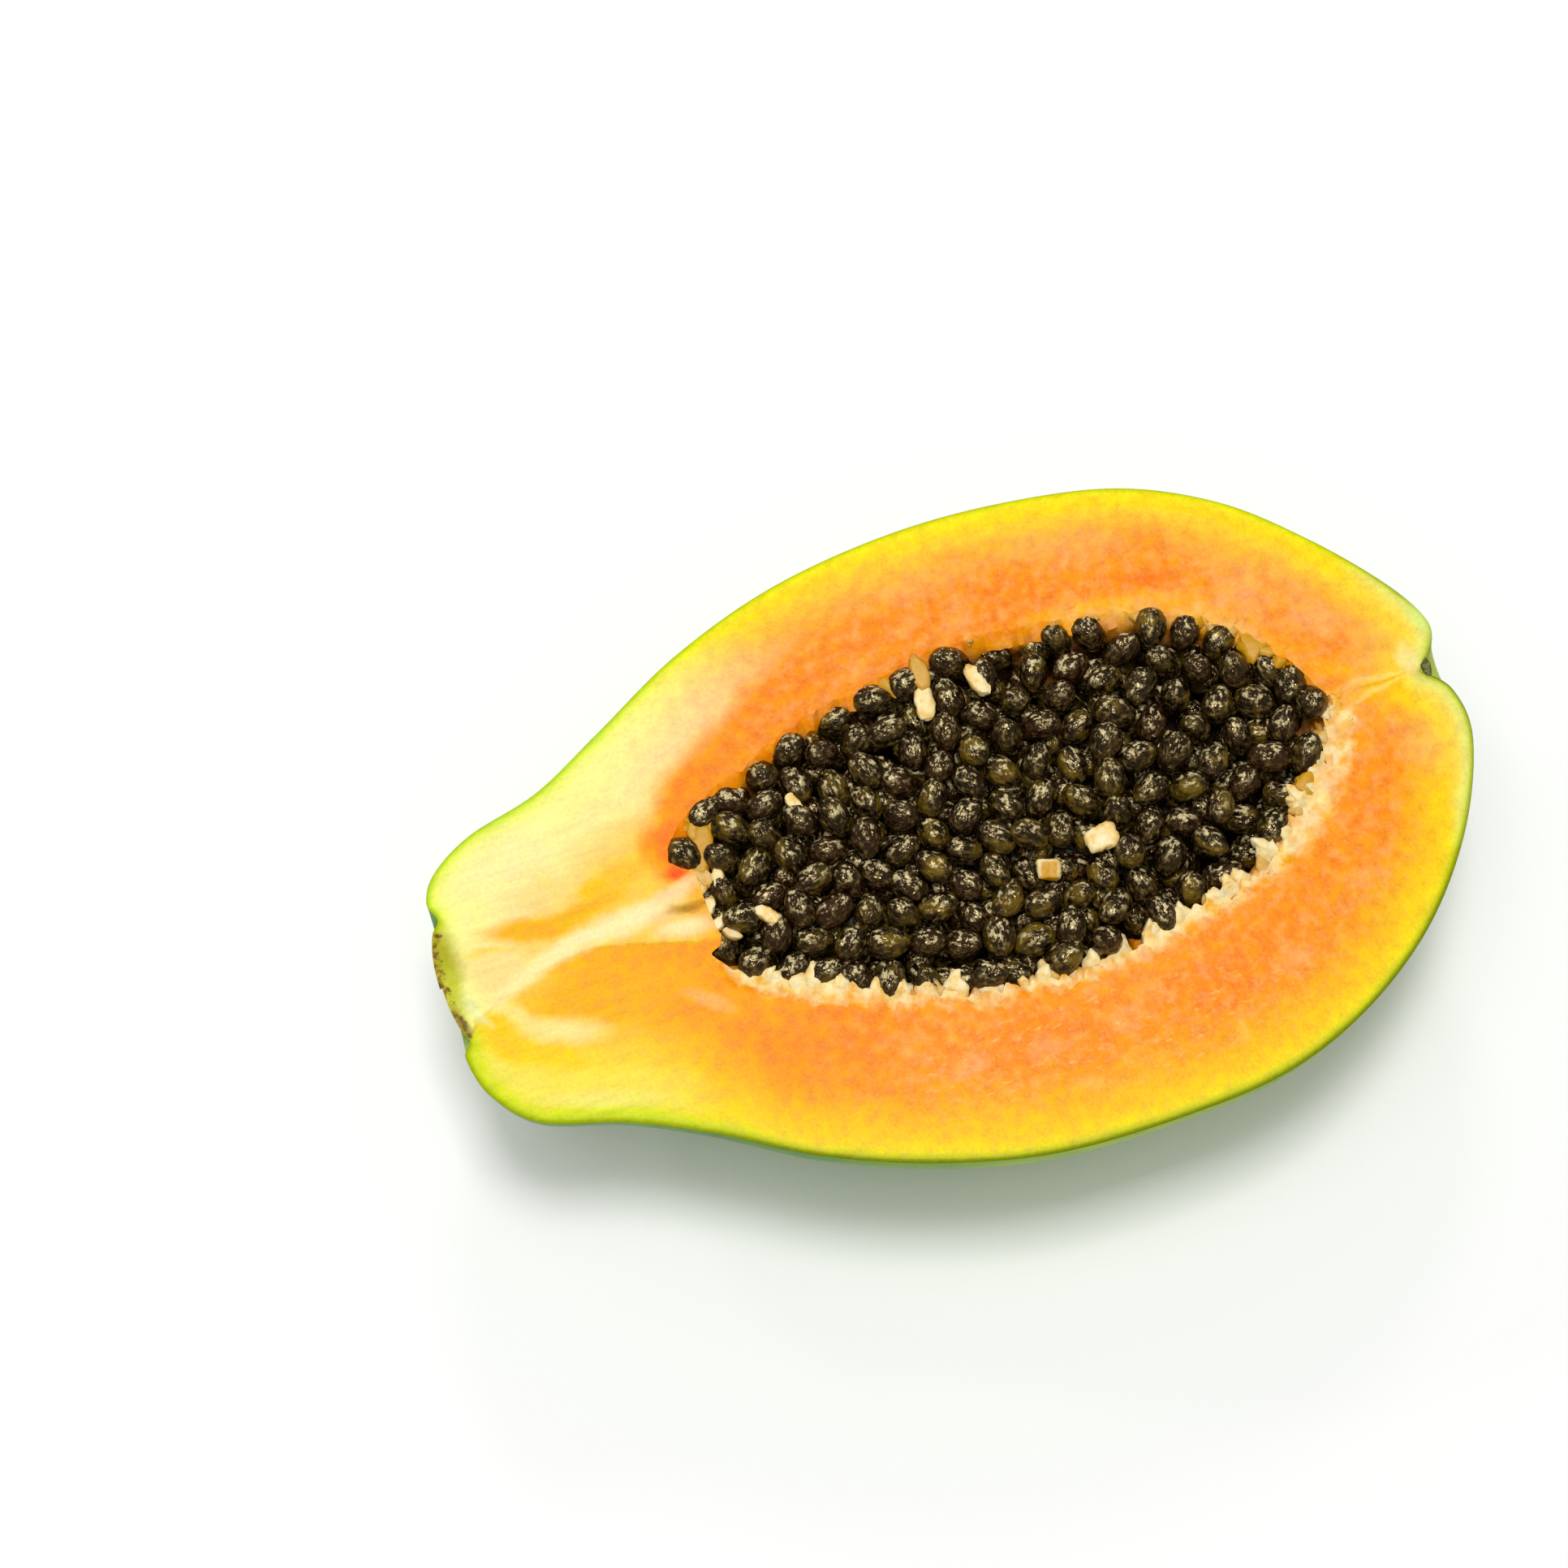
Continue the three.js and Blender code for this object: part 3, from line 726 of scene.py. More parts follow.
# %% Rim glow, lining and the wall of the hollow
far_glow = add("MapRange", [near_rim, 0, 7, 0.75, 0], **SOFT)
for share in (beyond_neck, before_tip, far_share):
    far_glow = add("Math", [far_glow, share], **TIMES)
frayed = add("Math", [threads, 4, lining_here], operation="MULTIPLY_ADD")
lining_share = add("MapRange", [frayed, 1.1, 4.6], **SOFT)
lining_colour = add(
    "ValToRGB", Fac=lining_noise,
    stops=[(0.30, "#eba92c"), (0.39, "#f4c66c"), (0.48, "#f8dc96"), (0.62, "#fbe8b0")]
)
cell_walls = add("TexVoronoi", Vector=stirred, Scale=0.3, feature="DISTANCE_TO_EDGE")
cell_middle = add("MapRange", [cell_walls, 0.1, 0.26], **SOFT)
inner_lining = add("MapRange", [lining_here, 0.6, 1.6, 0, 0.6])
cell_amount = at_blossom
for share in (inner_lining, cell_middle):
    cell_amount = add("Math", [cell_amount, share], **TIMES)
golden_share = add("Math", [far_share, 0.8], **TIMES)
for share, above in ((cell_amount, "#f0b02a"), (golden_share, "#f6b64a")):
    lining_colour = add("Mix", {0: share, 6: lining_colour, 7: above}, **COLOURS)
sunk = add("MapRange", [height, -9, -0.8])
wall_colour = add(
    "ValToRGB", Fac=sunk,
    stops=[(0.0, "#4a2407"), (0.4, "#a85c0e"), (0.7, "#e68c14"), (1.0, "#fba024")]
)
wall_share = add("MapRange", [height, -2.6, -0.5, 1, 0])
for share, above in (
    (far_glow, "#f28a14"), (lining_share, lining_colour), (wall_share, wall_colour)
):
    flesh_colour = add("Mix", {0: share, 6: flesh_colour, 7: above}, **COLOURS)

# %% [markdown]
# Grain and moisture
#
# Cut flesh shows its cells: a fine grain of half a millimetre to two, lighter flecks where
# cells were torn open, and long fibres in the neck. A wet film gives it a soft gloss that the
# grain breaks up. Over the near lower flesh, short pale dashes are painted on as that film's
# glints: painted highlight. Some light passes through the outermost millimetres.

# %% Corky edge of the scar, and riper and paler blotches
scar_width = add("MapRange", [corky, 0.35, 0.65, 0.3, 1.8])
scar_reach = add("Math", [scar_width, under_skin], operation="SUBTRACT")
scar_rim = add("MapRange", [scar_reach, -0.3, 0.4])
from_stalk = add("VectorMath", [place, (-1, -0.4, 0)], operation="DISTANCE").outputs["Value"]
at_stalk = add("MapRange", [from_stalk, 8.9, 9.5, 1, 0])
scar_amount = add("Math", [scar_rim, at_stalk], **TIMES)
cork_colour = add(
    "ValToRGB", Fac=corky,
    stops=[(0.36, "#c4b44a"), (0.46, "#a8963a"), (0.56, "#84682a"), (0.68, "#5c4018")]
)
ripeness = add("TexNoise", Vector=stirred, Scale=0.075, Detail=4, Roughness=0.6)
in_flesh = add("MapRange", [depth, 5, 11])
where_salmon = add("Math", [in_flesh, beyond_near_neck], **TIMES)
paler_amount, riper_amount = (
    add("Math", [add("MapRange", [ripeness, *run, 0, 0.55]), where_salmon], **TIMES)
    for run in ((0.52, 0.68), (0.48, 0.32))
)
for share, above in (
    (scar_amount, cork_colour), (paler_amount, "#fdb777"), (riper_amount, "#f9861e")
):
    flesh_colour = add("Mix", {0: share, 6: flesh_colour, 7: above}, **COLOURS)

# %% Grain, fibres and the finish of the flesh
long_fibres = add("Mapping", Vector=place, Scale=(0.12, 0.8, 0.8))
fibres = add("TexNoise", Vector=long_fibres, Scale=0.9, Detail=3)
fibre_or_cells = add("Mix", {0: near_neck, 2: cells, 3: fibres})
both_grains = add("Math", [grain, fibre_or_cells])
grain_value = add("MapRange", [both_grains, 0.75, 1.25, 0.88, 1.06])
grain_hue = add("MapRange", [cells, 0.3, 0.7, 0.491, 0.508])
flesh_colour = add(
    "HueSaturation", Color=flesh_colour, Value=grain_value, Hue=grain_hue, Saturation=1.06
)
fleck = add("MapRange", [fleck_noise, 0.46, 0.78, 0, 0.42])
for share in (add("MapRange", [depth, 5, 12]), beyond_near_neck):
    fleck = add("Math", [fleck, share], **TIMES)
# Painted highlight: short pale dashes over the near lower flesh stand for the glints of its wet
# film
dash_course = add(
    "Mapping", Vector=stirred, Rotation=(0, 0, math.radians(-32)), Scale=(0.55, 1.5, 1)
)
dash_noise = add("TexNoise", Vector=dash_course, Scale=0.85, Detail=3, Roughness=0.6)
dash = add("MapRange", [dash_noise, 0.58, 0.72])
painted_glint_share = add("MapRange", [soft_ellipse(93, -40, 46, 11, -4), 0, 0.5, 0, 0.55])
painted_glint_amount = add("Math", [dash, painted_glint_share], **TIMES)
for share, above in ((fleck, "#ffc080"), (painted_glint_amount, "#ffcf7a")):
    flesh_colour = add("Mix", {0: share, 6: flesh_colour, 7: above}, **COLOURS)
film = add("MapRange", [cells, 0.3, 0.7, 0.3, 0.48])
flesh_bump = add("Bump", Height=both_grains, Strength=0.4, Distance=0.0003)
fill(shader, {
    "Base Color": flesh_colour, "Roughness": film, "Normal": flesh_bump, "IOR": 1.36,
    "Specular IOR Level": 0.2, "Subsurface Weight": 0.12, "Subsurface Scale": 1,
    "Subsurface Radius": (0.004, 0.002, 0.0008),
})
print(flesh.name, "has", len(flesh.node_tree.nodes), "nodes")

fruit.data.materials.append(waxy_skin)
fruit.data.materials.append(flesh)
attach(fruit, "root")
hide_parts("fruit_half")

# %% [markdown]
# Torn lining
#
# Where the knife and a spoon pulled at the hollow, tufts of lining stand up between the seeds.
# They could be cut from the fruit's mesh, but small lumps of their own are easier to shape. Each
# is a ball of few faces, drawn out to a blunt tip, dented by noise and cut off level with the
# face, and its root slopes down into the flesh. The first ones on the near rim are drawn by the
# same repeatable rule as in the solid model. Smaller ones fill in between them, the far rim has
# its own, and a few lumps lie free among the seeds.

# %% Tufts along both rims, and lumps among the seeds
def repeatable(state):
    """Endless even numbers from 0 to 1, the same in every run."""
    while True:
        state = (state * 1664525 + 1013904223) % 2**32
        yield state / 2**32


draws = repeatable(20261)
TUFTS, SMALL_TUFTS = 26, 30
ROOT = 2.2
DENT = 0.34


def between(low, high, share):
    return low + (high - low) * share


tuft_draws = [
    (between(0.2, 0.94, (i + next(draws)) / TUFTS), between(1.8, 4.2, next(draws)),
     between(1.1, 2.1, next(draws)), between(-0.35, 0.35, next(draws)))
    for i in range(TUFTS)
]


def finished(lump, points, amber):
    """Puts a lump in its place, and keeps how much juice it has soaked up."""
    put_corners(lump.data, to_row(points))
    put_attribute(lump.data, "amber", np.full(len(points), amber))
    return lump


def tuft_lump(along_rim, length, radius, lean, dip=1.3, amber=0.0, rim_side=HOLLOW_NEAR_SIDE):
    """A lump of lining with its root in the flesh and its tip among the seeds, dip mm down."""
    root = side(rim_side, along_rim)
    ahead = side(rim_side, along_rim + 1e-4) - side(rim_side, along_rim - 1e-4)
    if rim_side is HOLLOW_FAR_SIDE:
        ahead = -ahead
    lump, points = ball(3)
    points[:, :1] *= 1 - 0.35 * points[:, 1:2]
    points *= (radius, (length + ROOT) / 2, radius * 0.9)
    points[:, 1] += (length - ROOT) / 2
    points *= 1 + DENT * (lumps(points + along_rim * 90, 1.7)[:, None] - 0.5)
    points += 0.25 * waves(points + along_rim * 70, 0.8)[:, None]
    points[:, 0] += 0.6 * waves(points, 1.5, along_rim * 50)
    points[:, 1] += 0.8 * waves(points, 1.3, along_rim * 30)
    root_drop = smooth(0.8, -1.2, points[:, 1])
    turn_in_plan(points, math.atan2(ahead[1], ahead[0]) + lean)
    points[:, :2] += root
    points[:, 2] -= dip
    top = -0.02 - 0.08 * np.abs(waves(points, 1.4, 4.0))
    points[:, 2] = np.minimum(points[:, 2], top) - root_drop
    return finished(lump, points, amber)


lining_lumps = [tuft_lump(*tuft) for tuft in tuft_draws]
small_tufts = np.random.default_rng(5)
for i in range(SMALL_TUFTS):
    share = between(0.16, 0.97, (i + 1.4 * small_tufts.random()) / SMALL_TUFTS)
    length, radius = small_tufts.uniform(0.4, 3.0), small_tufts.uniform(0.7, 1.7)
    lean, dip = small_tufts.uniform(-0.9, 0.9), small_tufts.uniform(0.6, 1.6)
    amber = 0.7 * (small_tufts.random() > 0.7)
    lining_lumps.append(tuft_lump(share, length, radius, lean, dip, amber))

# Places along the rim, lengths, radii and shares of juice
FAR_LUMPS = [
    (0.155, 1.6, 1.4, 1), (0.20, 1.4, 1.3, 1), (0.24, 1, 1.1, 0.9), (0.27, 1.8, 1.2, 0.9),
    (0.31, 1, 1.2, 0.9), (0.34, 1.4, 1.1, 0.9), (0.38, 0.9, 1.2, 0.9), (0.423, 4.6, 1.4, 0.95),
    (0.485, 2.2, 1.1, 0.9), (0.52, 1.4, 1.3, 0.9), (0.56, 1.1, 1.4, 0.9), (0.60, 1.6, 1.5, 0.9),
    (0.64, 1.3, 1.4, 0.9), (0.68, 2, 1.7, 0.9), (0.71, 1.3, 1.3, 0.6), (0.745, 3.4, 2, 1),
    (0.77, 1.8, 1.3, 0.5), (0.80, 2.2, 1.6, 0.8), (0.84, 4.2, 2.4, 1), (0.87, 2.4, 1.8, 0.9),
    (0.90, 2, 1.6, 1), (0.94, 1.8, 1.5, 0.9),
]
NEAR_LUMPS = [
    (0.835, 3, 1.4, 0.1), (0.865, 3.2, 2.2, 1), (0.905, 3.4, 1.3, 0.1), (0.94, 2.4, 1.6, 0.6),
    (0.97, 1.6, 1.3, 0.7),
]
for rim_side, some_lumps in ((HOLLOW_FAR_SIDE, FAR_LUMPS), (HOLLOW_NEAR_SIDE, NEAR_LUMPS)):
    lining_lumps += [
        tuft_lump(share, length, radius, 0.3, 1.2, amber, rim_side)
        for share, length, radius, amber in some_lumps
    ]


def free_lump(centre, halves, turn, amber, rise):
    """A lump of lining that lies between the seeds, so high above the cut face."""
    lump, points = ball(3)
    points *= (*halves, 1.6)
    points *= 1 + DENT * (lumps(points + centre[0], 1.7)[:, None] - 0.5)
    points += 0.3 * waves(points + centre[1], 0.8)[:, None]
    turn_in_plan(points, math.radians(turn))
    points[:, :2] += centre
    points[:, 2] = np.minimum(points[:, 2] - 0.9, -0.1 * np.abs(waves(points, 1.4))) + rise
    return finished(lump, points, amber)


# Centres, half sizes, turns, shares of juice and rises
LUMPS_BETWEEN_SEEDS = [
    ((44.4, 8.6), (4.4, 2), 68, 1, -0.2), ((45.2, 12), (2.6, 2), 40, 0.95, -0.3),
    ((43.3, 4.2), (2, 1.3), 100, 0.7, -0.3), ((45.3, 3.4), (1.9, 1), 80, 0.1, 0.2),
    ((42.6, -0.4), (1.8, 1), 60, 0, -0.4), ((42.9, -3.6), (2.4, 1), 20, 0, -0.4),
    ((41.6, 2.8), (2, 1.4), 30, 0.2, -0.4), ((44.6, -5.8), (1.6, 0.8), -40, 0.3, -0.2),
    ((94.2, 20.6), (3.2, 1.4), -73, 0.1, 1.9), ((86, 24.8), (1.5, 3.4), 0, 0.9, 0.9),
]
lining_lumps += [free_lump(*lump) for lump in LUMPS_BETWEEN_SEEDS]


def join(pieces, name):
    """Makes one piece of several, with its place in its mesh."""
    pick(*pieces)
    bpy.ops.object.join()
    joined = bpy.context.object
    joined.name = name
    bpy.ops.object.transform_apply(location=True, rotation=True, scale=True)
    bpy.ops.object.shade_smooth()
    return joined


tufts = join(lining_lumps, "papaya_lining_tufts")
smooth_by_angle(tufts, 58)
print(len(tufts.data.polygons), "faces in the tufts")

# %% [markdown]
# The lining's finish
#
# Torn lining is a soft, wet, thready pith. It is lighter than the flesh and lets light through,
# so it is cream with amber in its dents. The lower a part of it lies under the cut face, the
# browner it is painted: painted shade. A number kept by each lump says how much juice it has
# soaked up: those on the far side are almost all amber.

# %% Pale torn pith
pith, add, shader = new_material("pale torn pith")
place = fruit_place(add)
pith_noise = add("TexNoise", Vector=place, Scale=0.5, Detail=5, Roughness=0.6)
pith_colour = add(
    "ValToRGB", Fac=pith_noise,
    stops=[(0.30, "#e2a03a"), (0.40, "#efc672"), (0.50, "#f5da98"), (0.66, "#f8e8ba")]
)
pith_height = add("SeparateXYZ", Vector=place).outputs["Z"]
# Painted shade: the deeper a part lies under the cut face, the more it is painted brown
pith_depth_shade = add("MapRange", [pith_height, -4, -0.6, 0.7, 0])
juice = add("Attribute", attribute_name="amber").outputs["Fac"]
for share, above in ((pith_depth_shade, "#a8702a"), (juice, "#cc9410")):
    pith_colour = add("Mix", {0: share, 6: pith_colour, 7: above}, **COLOURS)
pith_bump = add("Bump", Height=pith_noise, Strength=0.5, Distance=0.0004)
fill(shader, {
    "Base Color": pith_colour, "Roughness": 0.42, "Normal": pith_bump, "IOR": 1.38,
    "Subsurface Weight": 0.15, "Subsurface Scale": 1,
    "Subsurface Radius": (0.0012, 0.0009, 0.0006),
})
tufts.data.materials.append(pith)
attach(tufts, "root")

# %% [markdown]
# How the seeds lie
#
# Seeds are not laid out in rows: they crowd each other. A physics run could drop them, but the
# solid model already has a rule for them, and both must agree. Seeds are thrown in at random,
# and in each round those that are too near push each other away, unless the wall stops them.
# A few at the stalk end then slip aside or down, and those under the scraps lie lower.

# %% Settle the top layer by the same rule as the solids
SEEDS, SEED_LENGTH, SEED_WIDTH, SEED_SPACING = 150, 6.6, 4.9, 6.1
WALL_MARGIN = 2.5
PUSH = 0.22
HOLLOW_END, END_SLIP, END_DROP = (41.5, 6.0), (2.4, 0.0), 3.6
LOOSE_SEED, LOOSE_REACH, LOOSE_SLIP = (44.6, 11.7), 1.5, (2.6, 2.8)
UNDER_SCRAP, SCRAP_DROP = 3.6, 2.2


def inside_by(points):
    """Distance to the rim: positive inside the hollow, negative outside."""
    return np.where(inside(rim, points), 1, -1) * distance_to(rim, points)


def settle(seeds, rounds=90, margin=WALL_MARGIN):
    """Lets seeds push each other apart for some rounds, and keeps them off the wall."""
    for _ in range(rounds):
        away = seeds[:, None] - seeds[None]
        apart = np.linalg.norm(away, axis=-1)
        close = (apart > 0) & (apart < SEED_SPACING)
        push = np.where(close, PUSH * (SEED_SPACING - apart) / np.where(close, apart, 1), 0)
        moved = seeds + (push[..., None] * away).sum(axis=1)
        seeds = np.where((inside_by(moved) < margin)[:, None], seeds, moved)
    return seeds


thrown = []
while len(thrown) < SEEDS:
    spot = rim.min(axis=0) + np.array([next(draws), next(draws)]) * np.ptp(rim, axis=0)
    if inside_by(spot[None])[0] >= WALL_MARGIN:
        thrown.append(spot)
top_seeds = settle(np.array(thrown))
scrap_spots = [
    ((np.array(low) + high)[:2] * 500 - shift[:2]) / fit
    for low, high in map(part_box, ("scrap_lobed", "scrap_square", "scrap_far"))
]
seed_places = []
for spot, margin in zip(top_seeds, inside_by(top_seeds)):
    seed_z = -0.9 + min(1, margin / 16) - 2.5 * next(draws)
    if spot[0] < HOLLOW_END[0] and spot[1] < HOLLOW_END[1]:
        spot, seed_z = spot + END_SLIP, seed_z - END_DROP
    if math.dist(spot, LOOSE_SEED) < LOOSE_REACH:
        spot = spot + LOOSE_SLIP
    if min(math.dist(spot, scrap) for scrap in scrap_spots) < UNDER_SCRAP:
        seed_z -= SCRAP_DROP
    a, b, c = next(draws), next(draws), next(draws)
    low, high = math.sqrt(1 - a), math.sqrt(a)
    spin = Quaternion((
        high * math.cos(math.tau * c), low * math.sin(math.tau * b),
        low * math.cos(math.tau * b), high * math.sin(math.tau * c),
    ))
    seed_places.append((np.append(spot, seed_z), spin, 0.96 + 0.14 * ((a * 7) % 1)))
print("first seed", np.round(seed_places[0][0], 3), "last", np.round(seed_places[-1][0], 3))

# %% [markdown]
# Seeds further down
#
# Between the top seeds the eye falls on others, half in shadow. In the solid model they are one
# level bed. Here two looser layers lie under the top one, and a dark lumpy bed of jelly closes
# the view below them.

# %% Two lower layers
LAYERS = ((-4.9, 150, 2.7), (-8.6, 120, 4.0))

deeper = np.random.default_rng(11)
for layer_z, count, margin in LAYERS:
    layer = []
    while len(layer) < count:
        spot = deeper.uniform(rim.min(axis=0), rim.max(axis=0))
        if inside_by(spot[None])[0] >= margin:
            layer.append(spot)
    for spot in settle(np.array(layer), 40, margin=margin):
        spin = Quaternion(deeper.normal(size=4)).normalized()
        place_z = layer_z + deeper.uniform(-0.9, 0.9)
        seed_places.append((np.append(spot, place_z), spin, deeper.uniform(0.9, 1.02)))
print(len(seed_places), "seeds in all")

# %% [markdown]
# One seed, made once
#
# A papaya seed sits in a jelly coat that shrinks onto it in lengthwise wrinkles. It is a ball of
# about a hundred faces, drawn longer, thicker at one end and slightly dented, in four forms. The
# wrinkles themselves are finer than the faces and come from the material.

# %% Four forms of seed
def seed_form(number):
    bpy.ops.mesh.primitive_uv_sphere_add(segments=12, ring_count=8, radius=0.5)
    form = bpy.context.object
    form.name = f"seed_form_{number}"
    points = corners(form.data)[:, [0, 2, 1]] * (1, 1, -1)
    points[:, [0, 2]] *= (1 - 0.32 * points[:, 1:2]) * SEED_WIDTH
    points[:, 1] *= SEED_LENGTH
    dents = waves(points, 3.1, number * 7.0) * 0.5 + waves(points, 1.7, number * 5.0) * 0.3
    points *= 1 + 0.13 * dents[:, None]
    put_corners(form.data, points)
    return form


seed_forms = [seed_form(n) for n in range(4)]
print(len(seed_forms[0].data.polygons), "faces a seed")

# %% [markdown]
# The pile
#
# Each copy gets a mesh of its own, which is turned and put in its place, and it keeps two
# things for the material: where a point is on its own seed, and a number for its tint. The
# solid seeds point any way, but a real one lies down as far as its neighbours let it, so each
# is tipped flatter, about its own middle. The top of the pile stays under that of the solids.

# %% Copy the seeds into the hollow
GOLDEN_RATIO = 0.6180339
FLATTER = 0.45

pile_top = (cad_box[1][2] * 1000 - shift[2]) / fit - 0.05
copies = []
for number, (spot, spin, size) in enumerate(seed_places):
    form = seed_forms[number % len(seed_forms)]
    seed = bpy.data.objects.new(f"seed_{number}", form.data.copy())
    own = corners(seed.data)
    axis = spin @ Vector((0, 1, 0))
    lying = axis.rotation_difference(Vector((axis.x, axis.y, FLATTER * axis.z)))
    turned = own * size @ np.array((lying @ spin).to_matrix()).T + spot
    turned[:, 2] -= max(0, turned[:, 2].max() - pile_top)
    put_corners(seed.data, to_row(turned))
    put_attribute(seed.data, "on_seed", own + number * 17.3, "FLOAT_VECTOR")
    put_attribute(seed.data, "tint", np.full(len(own), (number * GOLDEN_RATIO) % 1))
    bpy.context.collection.objects.link(seed)
    copies.append(seed)
seeds = join(copies, "papaya_seeds")
for form in seed_forms:
    bpy.data.objects.remove(form)
print(len(seeds.data.polygons), "faces in the pile")

# %% [markdown]
# Jelly coat over dark seed
#
# The seed is dark brown, and its coat is a greyish olive jelly. Ridges of the coat are lighter,
# because light gets into them, and the grooves show the dark seed. The coat is wet, with a
# warm shine that the wrinkles break into short dashes. On the upper side, which faces the
# lights, the ridges are painted pale cream as a painted highlight. Some seeds are amber or
# reddish, as unripe or torn coats are.

# %% Wet seed coat
seed_coat, add, shader = new_material("wet jelly seed coat")
on_seed = add("Attribute", attribute_name="on_seed").outputs["Vector"]
tint = add("Attribute", attribute_name="tint").outputs["Fac"]
lengthwise = add("Mapping", Vector=on_seed, Scale=(1, 0.65, 1))
ridges = add("TexNoise", Vector=lengthwise, Scale=1.3, Detail=3, Roughness=0.65)
jelly = add("TexNoise", Vector=on_seed, Scale=0.35)
coat_colour = add(
    "ValToRGB", Fac=ridges,
    stops=[(0.38, "#080301"), (0.48, "#1c1107"), (0.56, "#3b2c12"), (0.64, "#63522a"),
           (0.74, "#94834c")]
)
amber_coat = add("MapRange", [jelly, 0.5, 0.66, 0, 0.6])
some_seeds = add("MapRange", [tint, 0.25, 0.95])
amber_share = add("Math", [amber_coat, some_seeds], **TIMES)
reddish = add("MapRange", [tint, 0, 0.3, 0.35, 0])
# Painted highlight: on the side that faces the lights above and beyond, the ridges are painted pale
# cream
facing = add("NewGeometry").outputs["Normal"]
upper_side = add("VectorMath", [facing, (0, 0.36, 0.93)], operation="DOT_PRODUCT")
dried = add("MapRange", [upper_side.outputs["Value"], 0.62, 0.97], **SOFT)
pale_ridges = add("MapRange", [ridges, 0.53, 0.6, 0, 0.95])
painted_highlight_ridges = add("Math", [dried, pale_ridges], **TIMES)
for share, above in ((amber_share, "#866a18"), (reddish, "#3a1a0c"), (painted_highlight_ridges, "#d4c594")):
    coat_colour = add("Mix", {0: share, 6: coat_colour, 7: above}, **COLOURS)
soft_ridges = add("TexNoise", Vector=lengthwise, Scale=0.95, Detail=2.2)
wrinkles = add("Bump", Height=soft_ridges, Distance=0.0007)
fill(shader, {
    "Base Color": coat_colour, "Roughness": 0.13, "Normal": wrinkles, "IOR": 1.5,
    "Specular IOR Level": 0.65, "Specular Tint": "#ffdfa6",
})
seeds.data.materials.append(seed_coat)
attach(seeds, "root")
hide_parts("seed_pile")

# %% [markdown]
# The bed
#
# Under the seeds lies their jelly, dark and wet. A ball pressed flat and dented is enough,
# since only its top shows, and only in the gaps.

# %% Dark bed of jelly
BED_HALVES, BED_MIDDLE = (46.0, 20.5, 6.0), (92.5, -0.4, -13.5)

bpy.ops.mesh.primitive_uv_sphere_add(segments=64, ring_count=32, radius=1)
bed = bpy.context.object
bed.name = "papaya_seed_bed"
bed_points = corners(bed.data) * BED_HALVES + BED_MIDDLE
bed_points[:, 2] += 1.2 * (lumps(bed_points, 5.0) - 0.5)
put_corners(bed.data, to_row(bed_points))
bpy.ops.object.shade_smooth()
jelly_bed, add, shader = new_material("dark jelly under the seeds")
place = fruit_place(add)
jelly_noise = add("TexNoise", Vector=place, Scale=0.4, Detail=3)
jelly_colour = add("ValToRGB", Fac=jelly_noise, stops=[(0.35, "#0d0805"), (0.7, "#24170c")])
jelly_bump = add("Bump", Height=jelly_noise, Strength=0.6, Distance=0.001)
fill(shader, {"Base Color": jelly_colour, "Roughness": 0.35, "Normal": jelly_bump})
bed.data.materials.append(jelly_bed)
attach(bed, "root")

# %% [markdown]
# Scraps on the pile
#
# Five pale bits lie on the seeds: torn lining, and seeds that never grew. Each takes the box of
# its solid, so it lies where the solid does. A ball is squashed into it, and noise turns the
# ball into a crumb with corners. The square one has a golden middle, where juice stands in it.

# %% Five crumbs: lengths and widths in mm, turns in radians
SCRAPS = {
    "scrap_lobed": (6.6, 4.8, 0.1), "scrap_square": (5.2, 4.0, -0.3),
    "scrap_left": (5.8, 2.8, -0.86), "scrap_thin": (4.4, 2.2, -1.28),
    "scrap_far": (7.0, 3.6, 1.45),
}
SCRAP_HEIGHT = 2.4

for number, (name, (length, width, turn)) in enumerate(SCRAPS.items()):
    low, high = (np.array(corner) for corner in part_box(name))
    crumb, points = ball(4, 0.5)
    crumb.name = "papaya_" + name
    squared = points / np.abs(points).max(axis=1, keepdims=True) * 0.5
    points = points * 0.55 + squared * 0.38
    points *= (length, width, SCRAP_HEIGHT)
    points *= 1 + 0.3 * (lumps(points, 1.9, number * 3.0)[:, None] - 0.62)
    points += 0.16 * waves(points, 0.7, number * 9.0)[:, None]
    turn_in_plan(points, turn)
    middle = (low + high) / 2
    points = points / 1000 + middle
    room = (high - low) / np.maximum(np.ptp(points, axis=0), 1e-9)
    points = (points - middle) * np.minimum(room, 1) + middle
    put_corners(crumb.data, np.clip(points, low, high))
    golden = float(name == "scrap_square") * smooth(0.5, 0.3, np.abs(squared[:, 0]))
    put_attribute(crumb.data, "amber", golden * smooth(0.46, 0.26, squared[:, 1]))
    bpy.ops.object.shade_smooth()
    crumb.data.materials.append(pith)
    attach(crumb, "root")
    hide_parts(name)
print(len(SCRAPS), "crumbs")

# %% [markdown]
# Dried blossom
#
# At the far end, in the notch between the two shoulders, a rest of the blossom is left: a small
# dark olive crust. It is a dented ball that sits half in the skin.

# %% Rest of the blossom
REST_HALVES, REST_MIDDLE = (1.1, 2.7, 2.5), (162.7, 1.0, -2.0)

